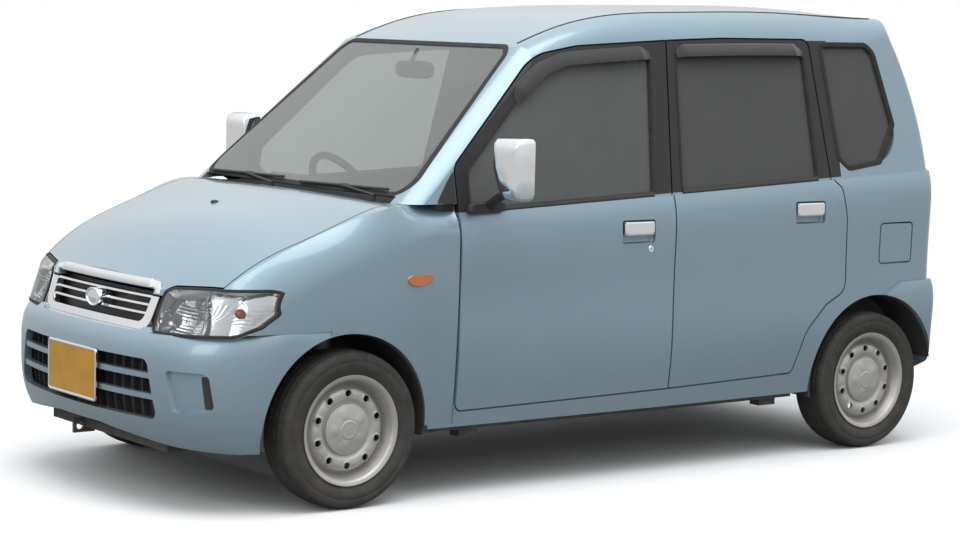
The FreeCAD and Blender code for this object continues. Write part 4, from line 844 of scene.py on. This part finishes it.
def visor_part(lower, width):
    """Rows across a strip: the place is edge + width * t down the side, and the lift over the frame is
    2.8 mm + 17.5 mm * sin(90 degrees * t), less near the ends."""
    low = resample(np.array(lower), 90, False)
    for _ in range(6):
        low[1:-1] = (low[:-2] + low[1:-1] * 2 + low[2:]) / 4
    along = np.gradient(low, axis=0)
    up = np.stack([along[:, 1], -along[:, 0]], -1)
    up *= np.sign(up[:, 1:]) / np.linalg.norm(up, axis=1)[:, None]
    end = np.minimum(np.arange(90), np.arange(90)[::-1])[:, None] / 6.0
    wide = width * (0.35 + 0.65 * np.clip(end, 0, 1) ** 0.5)
    start, direction = on_view("side", low + up * wide)
    top, normals = landed(LEFT_SIDE, start, direction)
    normals = softened(normals, False, 6)
    t = np.linspace(0, 1, 12)[None, :, None]
    down = np.stack([-up[:, 0], np.zeros(90), -up[:, 1]], -1) * wide
    down[:, 1] = -0.22 * down[:, 2]
    bulge = 0.0028 + 0.0175 * np.sin(t * np.pi / 2) * np.clip(end, 0.25, 1)[:, None]
    outer = top[:, None] + down[:, None] * t + normals[:, None] * bulge
    inner = top[:, None] + down[:, None] * t + normals[:, None] * (bulge - 0.0025)
    return grid(np.concatenate([outer, inner[:, ::-1]], 1), False, True, True)


for name, body, width, lower in VISORS:
    on_both_sides(name, [visor_part(lower, width)], body, VISOR_SMOKE, 60)

# %% [markdown]
# ## Rubbers round the screens, and roof mouldings
# The windscreen and the tail glass have the same kind of rubber, drawn on a front and a rear view.
# Two thin mouldings cover the joints between the roof and the sides.

# %% Screens and roof
FRONT_TREE = tree_of("windscreen", "body_side_left", "body_side_right", "roof", "cowl")
SCREEN_SECTION = [(0.0080, -0.001), (0.0070, 0.0022), (0.0, 0.0036), (-0.0120, 0.0030), (-0.0150, 0.0006),
                  (-0.0150, -0.001)]
seal = ribbon(FRONT_TREE, "front", rounded_outline(SCREEN, 10), SCREEN_SECTION, count=260, spread=-0.006)
make_piece("rubber_screen", [seal], "body", SEAL_RUBBER)
TAIL_TREE = tree_of("tailgate")
seal = ribbon(TAIL_TREE, "rear", rounded_outline(REAR_GLASS, 10), RUBBER, count=240)
make_piece("rubber_tail", [seal], "tailgate", SEAL_RUBBER)
ROOF_TREE = tree_of("roof", "body_side_left")
roof_line = np.stack([np.linspace(-0.80, -2.50, 90), np.full(90, 0.4975)], -1)
moulding = ribbon(ROOF_TREE, "top", roof_line, half_round(0.010, 0.0022), False, 120, 0.0)
on_both_sides("roof_moulding", [moulding], "body", SEAL_RUBBER, 60)

# %% [markdown]
# ## Handles, keyholes and mirrors
# The flap handles are chromed, with a shallow crown. The mirrors are square heads that narrow below,
# on a black foot.

# %% Handles and mirrors
HANDLES = (("door_front", -1.173, 0.880, 0.0670), ("door_rear", -2.006, 0.923, 0.0680))
for body, middle, height, half in HANDLES:
    corners = [(middle - half, height - 0.0245, 0.012), (middle - half, height + 0.0235, 0.009),
               (middle + half, height + 0.0235, 0.009), (middle + half, height - 0.0245, 0.012)]
    start, direction = on_view("side", [(middle, height)])
    face = landed(LEFT_SIDE, start, direction)[0][0, 1]
    levels = [(-0.0006, face - 0.0085), (-0.0006, face - 0.0030), (0.0004, face - 0.0006),
              (0.0030, face + 0.0008), (0.0080, face + 0.0016), (0.0180, face + 0.0022),
              (0.0200, face + 0.0022)]
    flap = plate(rounded_outline(corners, 8), levels, "side")
    on_both_sides("handle_" + body[5:], [flap], body, CHROME)

start, direction = on_view("side", [(-1.230, 0.806)])
lock = landed(LEFT_SIDE, start, direction)[0][0]
KEY_RING = [(0.0001, 0.0012), (0.0065, 0.0012), (0.0070, 0.0022), (0.0105, 0.0022), (0.0118, 0.0008),
            (0.0118, -0.002), (0.0001, -0.002)]
slit = pillow(lock + np.array([0, 0.0012, 0]), (0.0009, 0.0007, 0.0040), 4.0, 8, 10)
on_both_sides("keyhole", [turned(KEY_RING, lock, 40)], "door_front", CHROME, 30)
on_both_sides("key_slit", [slit], "door_front", BLACK_PLASTIC, 30)

HEAD = [(0.782, 1.112, 0.060), (0.782, 1.210, 0.018), (0.928, 1.210, 0.018), (0.928, 1.004, 0.022),
        (0.826, 1.004, 0.040)]
HEAD_LEVELS = [(0.060, -0.5500), (0.0140, -0.5500), (0.0128, -0.5575), (0.0060, -0.5590), (0.0015, -0.5570),
               (0.0, -0.5520), (0.0, -0.5250), (0.0020, -0.5080), (0.0075, -0.4940), (0.0180, -0.4850),
               (0.0340, -0.4800), (0.0600, -0.4785), (0.0620, -0.4785)]
head = plate(rounded_outline(HEAD, 10), [(inset, at(ahead)) for inset, ahead in HEAD_LEVELS], "front")
FOOT = [(-0.598, 0.956, 0.008), (-0.438, 0.952, 0.008), (-0.452, 0.984, 0.012), (-0.588, 0.988, 0.012)]
FOOT_LEVELS = [(0.0, 0.706), (0.0, 0.727), (0.003, 0.731), (0.010, 0.7325), (0.012, 0.7325)]
foot = plate(rounded_outline(FOOT, 6), FOOT_LEVELS, "side")
way = np.linspace(0, 1, 14)[:, None]
bend = np.array([at(-0.530), 0.716, 0.972]) * (1 - way) + np.array([at(-0.534), 0.852, 1.034]) * way
bend[:, 2] += 0.010 * np.sin(way[:, 0] * np.pi)
neck = carried(bend, round_section(0.017, 20, 0.8), scale=np.linspace(1.25, 0.95, 14))
for side, parts, stand in (("left", [head], [foot, neck]),
                           ("right", mirrored([head]), mirrored([foot, neck]))):
    shell = make_piece("mirror_head_" + side, parts, "door_front_" + side, CHROME, 40)
    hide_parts("mirror_" + side)
    make_piece("mirror_foot_" + side, stand, "door_front_" + side, BLACK_PLASTIC, 40)

# %% [markdown]
# ## Grille and number plate
# The upper bar of the grille sits on the bonnet's lip and turns down at its ends, where it meets the
# U-shaped surround. The badge is a bare oval ring, and the plate is blank.

# %% Grille, badge and plate
HALF_BAR = [(-0.3525, 0.6890, 0.0), (-0.3515, 0.7020, 0.012), (-0.3440, 0.7160, 0.016),
            (-0.3220, 0.7205, 0.040)]
ends = HALF_BAR + [(-y, z, r) for y, z, r in reversed(HALF_BAR)]
bar = rounded_outline(ends, 12)
bar = np.roll(bar, -int(np.argmin(np.abs(bar - np.array(ends[0][:2])).sum(1))), 0)
BAR = [(-0.0145, -0.001), (-0.0145, 0.0026), (-0.0100, 0.0052), (0.0, 0.0066), (0.0100, 0.0052),
       (0.0145, 0.0026), (0.0145, -0.001)]
bar = ribbon(tree_of("bonnet"), "front", bar, BAR, False, 240, 0.002)
make_piece("grille_bar", [bar], "bonnet", CHROME, 50)

angle = np.linspace(0, 2 * np.pi, 96, endpoint=False)
oval = np.stack([0.0495 * np.cos(angle), 0.648 + 0.0310 * np.sin(angle)], -1)
BADGE = [(0.000, 0.5520), (0.000, 0.5615), (0.0012, 0.5640), (0.0035, 0.5652), (0.0065, 0.5640),
         (0.0082, 0.5612), (0.0110, 0.5606), (0.0200, 0.5622), (0.0300, 0.5634), (0.0360, 0.5636)]
badge = plate(oval, [(inset, at(ahead)) for inset, ahead in BADGE], "front")
make_piece("badge", [badge], "body", CHROME, 30)

PLATE = [(-0.165, 0.3285, 0.008), (-0.165, 0.4935, 0.008), (0.165, 0.4935, 0.008), (0.165, 0.3285, 0.008)]
PLATE_LEVELS = [(0.0, 0.6352), (0.0, 0.6368), (0.0008, 0.6374), (0.0060, 0.6374), (0.0068, 0.6382),
                (0.0080, 0.6382), (0.0088, 0.6374), (0.0300, 0.6374)]
blank = plate(rounded_outline(PLATE, 6), [(inset, at(ahead)) for inset, ahead in PLATE_LEVELS], "front")
make_piece("number_plate", [blank], "body", PLATE_YELLOW, 30)
frame_line = resample(rounded_outline(PLATE, 8), 160)
path = np.stack([np.full(160, at(0.6362)), frame_line[:, 0], frame_line[:, 1]], -1)
rim = [(-0.0050, -0.0030), (-0.0050, 0.0020), (0.0, 0.0042), (0.0045, 0.0024), (0.0045, -0.0030)]
make_piece("plate_frame", [carried(path, rim, (1, 0, 0), True)], "body", CHROME, 40)

# %% [markdown]
# ## Headlamps
# Behind each lens lies one silvered shell. Its depth under the lens is a formula of the place: a
# round bowl with a rim low on the inner side, a tall domed reflector with level flutes, an upright
# double rib, and an outer part with upright flutes. The shell is drawn on rings of the lamp's
# outline, so it closes up to the seal.

# %% Headlamp shells
LAMP = [(0.388, 0.573, 0.014), (0.379, 0.640, 0.080), (0.391, 0.717, 0.034), (0.560, 0.727, 0.300),
        (0.700, 0.729, 0.014), (0.705, 0.650, 0.080), (0.694, 0.581, 0.036)]
LENS_TREE = tree_of("headlamp_lenses")


def step(value, low, high):
    """A smooth step from 0 below low to 1 above high."""
    t = np.clip((value - low) / (high - low), 0, 1)
    return t * t * (3 - 2 * t)


def lamp_depth(y, z, run):
    """How far the silvered shell lies behind the lens at a place on the front view; run is the way outwards
    measured on the surface, which turns round the corner of the car."""
    depth = 0.020 + 0.010 * step(z, 0.600, 0.700)
    small = np.hypot(y - 0.425, z - 0.618)
    depth = np.where(small < 0.034, 0.050 - 0.032 * (small / 0.034) ** 2, depth)
    depth -= 0.007 * np.exp(-((small - 0.0355) / 0.0022) ** 2)
    rib_y = 0.588 - 0.75 * np.clip(z - 0.600, 0, 1) ** 1.5
    dome = np.hypot((y - 0.520) / 1.05, z - 0.632)
    inside = step(0.074 - dome, -0.002, 0.004) * (z > 0.585) * (small > 0.040)
    flutes = 0.0007 * np.cos(2 * np.pi * z / 0.0105)
    depth = depth * (1 - inside) + inside * (0.062 - 0.042 * (dome / 0.074) ** 2 + flutes)
    outer = step(y - rib_y, 0.016, 0.020)
    upright = 0.00045 * np.cos(2 * np.pi * run / 0.0085)
    depth = depth * (1 - outer) + outer * (0.034 - 0.012 * np.abs(y - 0.655) / 0.05 + upright)
    for offset in (0.002, 0.012):
        rib = np.exp(-((y - rib_y - offset) / 0.0032) ** 2)
        depth = depth * (1 - rib) + 0.007 * rib
    return depth


def lamp_shell():
    """Rings of the outline from the seal to the middle, each landed on the lens and sunk by its depth."""
    flat = resample(rounded_outline(LAMP, 10), 250)
    middle = flat.mean(0)
    rows = []
    for share in np.concatenate([[0.999, 0.998, 0.996], np.linspace(0.985, 0.004, 48)]):
        ring = middle + (flat - middle) * share
        start, direction = on_view("front", ring)
        places, normals = landed(LENS_TREE, start, direction)
        depth = lamp_depth(ring[:, 0], ring[:, 1], ring[:, 0] + at(0.573) - places[:, 0])
        deep = (0.0048, 0.010, 0.018)[len(rows)] if len(rows) < 3 else depth
        rows.append(places - softened(normals, True) * np.minimum(deep, depth)[:, None])
    return grid(np.stack(rows), False, True, False)


shell = lamp_shell()
lamps = make_piece("headlamp_shells", [shell] + mirrored([shell]), "body", REFLECTOR, 60)
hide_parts("headlamp_units")
wall = lamps.modifiers.new("wall", "SOLIDIFY")
wall.thickness, wall.offset = SHEET, -1.0

BEZEL = [(0.0022, -0.0030), (0.0020, 0.0006), (0.0, 0.0016), (-0.0060, 0.0012), (-0.0078, -0.0004),
         (-0.0078, -0.0030)]
bezel = ribbon(tree_of("headlamp_lenses", "fender_left", "bonnet", "front_bumper"), "front",
               rounded_outline(LAMP, 10), BEZEL, count=300, spread=-0.0004)
on_both_sides("headlamp_seal", [bezel], "body", SEAL_RUBBER, 60)


def bulb(y, z, depth, length, radius):
    """A round-ended bulb that points forward from the shell."""
    start, direction = on_view("front", [(y, z)])
    tip = landed(LENS_TREE, start, direction)[0][0] - np.array([depth, 0, 0])
    t = np.linspace(0, np.pi / 2, 9)
    profile = [(0.0002, -length), (radius, -length)]
    profile += [(radius * math.cos(a), -radius + radius * math.sin(a)) for a in t]
    profile[-1] = (0.0002, profile[-1][1])
    return turned(profile, tip, 28, "x")


clear_bulbs = [bulb(0.425, 0.618, 0.022, 0.028, 0.007), bulb(0.520, 0.632, 0.030, 0.034, 0.009)]
amber_bulb = [bulb(0.652, 0.655, 0.012, 0.024, 0.015)]
on_both_sides("lamp_bulbs", clear_bulbs, "body", CLEAR_LENS, 60)
on_both_sides("amber_bulb", amber_bulb, "body", AMBER_LENS, 60)

# %% [markdown]
# ## Small parts of the front and sides
# The side markers, the lamp slots in the bumper, the washer jet and the black arch liners.

# %% Markers, slots and liners
MARKER = [(-0.192, 0.749, 0.010), (-0.217, 0.757, 0.008), (-0.298, 0.757, 0.006), (-0.307, 0.747, 0.006),
          (-0.297, 0.732, 0.006), (-0.243, 0.718, 0.020), (-0.209, 0.724, 0.012)]
SLOT = [(0.6060, 0.350, 0.003), (0.5980, 0.454, 0.003), (0.6240, 0.454, 0.012), (0.6350, 0.372, 0.014),
        (0.6330, 0.350, 0.006)]
marker = patch(LEFT_SIDE, "side", rounded_outline(MARKER, 6), 0.0050, 0.004)
on_both_sides("side_marker", [marker], "body", AMBER_LENS, 60)
slot = patch(tree_of("front_bumper"), "front", rounded_outline(SLOT, 6), 0.0010, 0.0006)
on_both_sides("fog_slot", [slot], "body", BLACK_PLASTIC)
start, direction = on_view("top", [(0.078, -0.040)])
jet = landed(tree_of("bonnet"), start, direction)[0][0]
button = pillow(jet + np.array([0, 0, 0.001]), (0.014, 0.011, 0.0065), 2.6, 12, 20)
make_piece("washer_jet", [button], "bonnet", BLACK_PLASTIC, 60)


LINER_WALL = 0.0022
LINER_Z = 0.262


def liner(axle, radius, y_in, y_out, last):
    """A sheet bent round the wheel: a strip of arcs from low ahead of it, over it, to the angle last
    behind it. Angles are in degrees, from straight ahead upwards."""
    turn = np.linspace(math.radians(-8), math.radians(last), 90)[:, None]
    y = np.array([y_in, y_out, y_out, y_in])[None]
    r = radius + np.array([0, 0, LINER_WALL, LINER_WALL])[None]
    x, z = axle + r * np.cos(turn), LINER_Z + r * np.sin(turn)
    return grid(np.stack([x, y + 0 * turn, z], -1), False, True, True)


for end, sheet in (("front", liner(AXLE + 0.014, 0.3115, 0.392, 0.700, 188)),
                   ("rear", liner(REAR_AXLE - 0.014, 0.3215, 0.545, 0.712, 168))):
    on_both_sides("liner_" + end, [sheet], "body", CHASSIS_BLACK)

# %% [markdown]
# ## Seats
# Each pad starts as a rounded block a little smaller than the real one. A cloth simulation blows it
# up against its own surface, so it crowns in the middle and pulls in at its corners, and each point's
# travel is capped.

# %% Padded seats
def seat_fabric():
    """Grey woven cloth: two crossed waves for the weave, and a slow patchy fade."""
    f = Finish("seat_cloth")
    warp = f.node("ShaderNodeTexWave", {"bands_direction": "Y"}, f.place, Scale=260.0)
    weft = f.node("ShaderNodeTexWave", {"bands_direction": "Z"}, f.place, Scale=260.0)
    fade = f.noise(5.0, 4.0)
    tone = f.mix(fade.over(0.3, 0.7), (0.105, 0.108, 0.115), (0.150, 0.152, 0.158))
    f.set(Base_Color=f.mix((warp * weft * 0.6).held(), tone, (0.065, 0.067, 0.072)), Roughness=0.92,
          Normal=f.bump(warp + weft, 0.0006, 0.6))
    return f.material


SEAT_CLOTH = seat_fabric()
CLOTH_FRAMES = 14
CLOTH_PRESSURE = 4.0
FOAM_VOXEL = 0.010


def lean(points, pivot, degrees):
    """Points turned about an axis across the car through pivot, leaning back by so many degrees."""
    a = math.radians(degrees)
    x, z = points[:, 0] - pivot[0], points[:, 2] - pivot[2]
    points = points.copy()
    points[:, 0] = pivot[0] + x * math.cos(a) - z * math.sin(a)
    points[:, 2] = pivot[2] + x * math.sin(a) + z * math.cos(a)
    return points


def bake(piece):
    """Applies a piece's modifiers to its mesh."""
    held = piece.evaluated_get(bpy.context.evaluated_depsgraph_get())
    mesh = bpy.data.meshes.new_from_object(held)
    old = piece.data
    piece.modifiers.clear()
    piece.data = mesh
    bpy.data.meshes.remove(old)


def pad(name, centre, half, degrees, body_nodes=(), power=5.0, cap=0.022):
    """A crowned pad: a rounded block, remeshed, blown up by cloth pressure with its travel capped, then
    smoothed."""
    verts, faces = pillow(centre, half, power, 26, 40)
    piece = make_piece(name, [(lean(verts, centre, degrees), faces)], "body", SEAT_CLOTH, 180)
    remesh = piece.modifiers.new("remesh", "REMESH")
    remesh.mode, remesh.voxel_size = "VOXEL", FOAM_VOXEL
    bake(piece)
    rest = np.empty(len(piece.data.vertices) * 3)
    piece.data.vertices.foreach_get("co", rest)
    cloth = piece.modifiers.new("cloth", "CLOTH")
    cloth.settings.use_pressure = True
    cloth.settings.uniform_pressure_force = CLOTH_PRESSURE
    cloth.settings.effector_weights.gravity = 0.0
    cloth.settings.quality = 3
    cloth.point_cache.frame_start, cloth.point_cache.frame_end = 1, CLOTH_FRAMES
    for frame_number in range(1, CLOTH_FRAMES + 1):
        bpy.context.scene.frame_set(frame_number)
    bake(piece)
    moved = np.empty(len(rest))
    piece.data.vertices.foreach_get("co", moved)
    travel = (moved - rest).reshape(-1, 3)
    length = np.linalg.norm(travel, axis=1)[:, None]
    travel *= np.minimum(1.0, cap / np.maximum(length, 1e-9))
    piece.data.vertices.foreach_set("co", (rest.reshape(-1, 3) + travel).reshape(-1))
    bpy.context.scene.frame_set(1)
    soften = piece.modifiers.new("soften", "SMOOTH")
    soften.iterations = 6
    bake(piece)
    piece.data.shade_smooth()
    if body_nodes:
        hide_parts(*body_nodes)


SEAT_Y = 0.33
STAY_Y = 0.055
RAIL_Y = 0.17
for who, y, nodes in (("driver", -SEAT_Y, ("front_seats",)), ("passenger", SEAT_Y, ())):
    pad("cushion_" + who, (at(-1.205), y, 0.385), (0.235, 0.225, 0.075), -5, nodes)
for who, y in (("driver", -SEAT_Y), ("passenger", SEAT_Y)):
    pad("seat_back_" + who, (at(-1.500), y, 0.690), (0.055, 0.215, 0.285), 14)
for who, y in (("driver", -SEAT_Y), ("passenger", SEAT_Y)):
    pad("head_rest_" + who, (at(-1.600), y, 1.085), (0.040, 0.115, 0.070), 10, (), 3.0, 0.008)
pad("rear_cushion", (at(-1.925), 0.0, 0.400), (0.195, 0.515, 0.060), -5, ("rear_seat",))
pad("rear_back", (at(-2.205), 0.0, 0.660), (0.050, 0.505, 0.280), 12)

stays = []
for y in (-SEAT_Y, SEAT_Y):
    for gap in (-STAY_Y, STAY_Y):
        path = np.linspace((at(-1.575), y + gap, 0.93), (at(-1.600), y + gap, 1.05), 8)
        stays.append(carried(path, round_section(0.006, 12)))
    for rail in (-RAIL_Y, RAIL_Y):
        runner = np.array([(at(ahead), y + rail, 0.262) for ahead in (-1.43, -1.20, -1.00)])
        stays.append(carried(runner, [(-0.017, -0.024), (-0.017, 0.018), (0.017, 0.018), (0.017, -0.024)]))
        stays.append(pillow((at(-1.24), y + rail, 0.300), (0.19, 0.014, 0.030), 6.0, 10, 16))
make_piece("seat_frames", stays, "body", CHASSIS_BLACK, 40)

# %% [markdown]
# ## Cabin
# A rear-view mirror hangs from the windscreen's top edge, and each door has an arm rest.

# %% Mirror inside and arm rests
inner = pillow((at(-0.720), 0.0, 1.405), (0.012, 0.115, 0.032), 3.6, 14, 30)
stem = np.array([(at(-0.712), 0.0, 1.405), (at(-0.708), 0.0, 1.440), (at(-0.735), 0.0, 1.478)])
arm = carried(stem, round_section(0.008, 12))
make_piece("inside_mirror", [inner, arm], "body", BLACK_PLASTIC, 50)
for body, low, high in (("door_front", -1.18, -0.70), ("door_rear", -1.92, -1.50)):
    rest = pillow((at((low + high) / 2), 0.662, 0.640), ((high - low) / 2, 0.022, 0.030), 4.0, 12, 26)
    on_both_sides("arm_rest_" + body[5:], [rest], body, CABIN_TRIM, 60)

# %% [markdown]
# ## Camera, floor and light
# The camera stands where the photograph was taken, at eye height ahead of the car's left front
# corner. The studio is a pale floor under a soft, even world with two large lamps.

# %% Camera
CAMERA = (at(4.34930795), 7.20837818, 1.61630881)
YAW, PITCH, ROLL = math.radians(-126.76), math.radians(-6.01), math.radians(1.44)
SENSOR_MM = 36.0
PHOTO_WIDTH, FOCAL_PIXELS = 960, 2445.4
LENS_MM = FOCAL_PIXELS / PHOTO_WIDTH * SENSOR_MM
forward = Vector((math.cos(YAW) * math.cos(PITCH), math.sin(YAW) * math.cos(PITCH), math.sin(PITCH)))
level_right = forward.cross(Vector((0, 0, 1))).normalized()
level_up = level_right.cross(forward)
right = level_right * math.cos(ROLL) + level_up * math.sin(ROLL)
up = level_up * math.cos(ROLL) - level_right * math.sin(ROLL)
lens_data = bpy.data.cameras.new("camera")
lens_data.lens = LENS_MM
lens_data.sensor_width = SENSOR_MM
camera = bpy.data.objects.new("camera", lens_data)
camera.matrix_world = Matrix((right, up, -forward)).transposed().to_4x4()
camera.location = CAMERA
bpy.context.scene.collection.objects.link(camera)
bpy.context.scene.camera = camera

# %% [markdown]
# ## Floor, world and lamps
# The floor looks paler to the camera than it is for the light, and it fades out round the car. The
# sky is white where the camera looks straight at it, and a soft dome, brighter above, elsewhere.

# %% Floor, world and lamps
FLOOR_HALF = 30
FLOOR_FOR_LIGHT = (0.24, 0.24, 0.24)
FLOOR_SEEN = (0.86, 0.86, 0.86)
FLOOR_FADE = (3.2, 6.5)
GLOSSY_SHARE = 0.45
DOME = ((0.0, 0.36), (0.10, 0.52), (0.32, 0.92), (0.75, 1.25))
DOME_STRENGTH = 0.95

corners = [(x * FLOOR_HALF, y * FLOOR_HALF, 0) for x, y in ((-1, -1), (1, -1), (1, 1), (-1, 1))]
floor_mesh = bpy.data.meshes.new("floor")
floor_mesh.from_pydata(corners, [], [(0, 1, 2, 3)])
floor = bpy.data.objects.new("floor", floor_mesh)
bpy.context.scene.collection.objects.link(floor)
floor_finish = Finish("studio_floor")
away = (floor_finish.x * floor_finish.x + floor_finish.y * floor_finish.y) ** 0.5
floor_finish.set(Base_Color=FLOOR_FOR_LIGHT, Roughness=0.95)
pale = floor_finish.node("ShaderNodeBsdfDiffuse", {}, (*FLOOR_SEEN, 1.0))
gone = floor_finish.node("ShaderNodeBsdfTransparent")
looked_at = floor_finish.node("ShaderNodeLightPath")
both = floor_finish.node("ShaderNodeMixShader", {}, looked_at, floor_finish.shaded, pale)
floor_finish.ends_in(floor_finish.node("ShaderNodeMixShader", {}, away.over(*FLOOR_FADE), both, gone))
floor_mesh.materials.append(floor_finish.material)

world = bpy.data.worlds.new("studio")
bpy.context.scene.world = world
world.use_nodes = True
sky = Nodes(world.node_tree)
camera_ray = sky.node("ShaderNodeLightPath", out="Is Camera Ray")
glossy_ray = sky.node("ShaderNodeLightPath", out="Is Glossy Ray")
through_ray = sky.node("ShaderNodeLightPath", out="Is Transmission Ray")
seen = camera_ray.maths("MAXIMUM", camera_ray, glossy_ray * GLOSSY_SHARE)
seen = seen.maths("MAXIMUM", seen, through_ray)
height = sky.node("ShaderNodeSeparateXYZ", {}, sky.node("ShaderNodeTexCoord", out="Generated"), out=2)
stops = [(where, (level * 0.95, level * 0.98, level)) for where, level in DOME]
dome = sky.node("ShaderNodeValToRGB", {"stops": stops}, height)
soft = sky.node("ShaderNodeBackground", {}, dome, DOME_STRENGTH)
plain = sky.node("ShaderNodeBackground", {}, (1.0, 1.0, 1.0, 1.0), 1.0)
sky.node("ShaderNodeOutputWorld", {}, sky.node("ShaderNodeMixShader", {}, seen, soft, plain))


def lamp(name, place, target, size, power):
    """A large square lamp at place that faces target."""
    data = bpy.data.lights.new(name, "AREA")
    data.size, data.energy = size, power
    light = bpy.data.objects.new(name, data)
    light.location = place
    light.rotation_euler = (Vector(target) - Vector(place)).to_track_quat("-Z", "Y").to_euler()
    bpy.context.scene.collection.objects.link(light)


lamp("top_lamp", (1.0, 1.5, 6.5), (0, 0, 0.6), 6.0, 300)
lamp("front_lamp", (6.5, 3.0, 3.6), (0.8, 0, 0.7), 3.0, 60)

bpy.context.scene.view_settings.view_transform = "Standard"
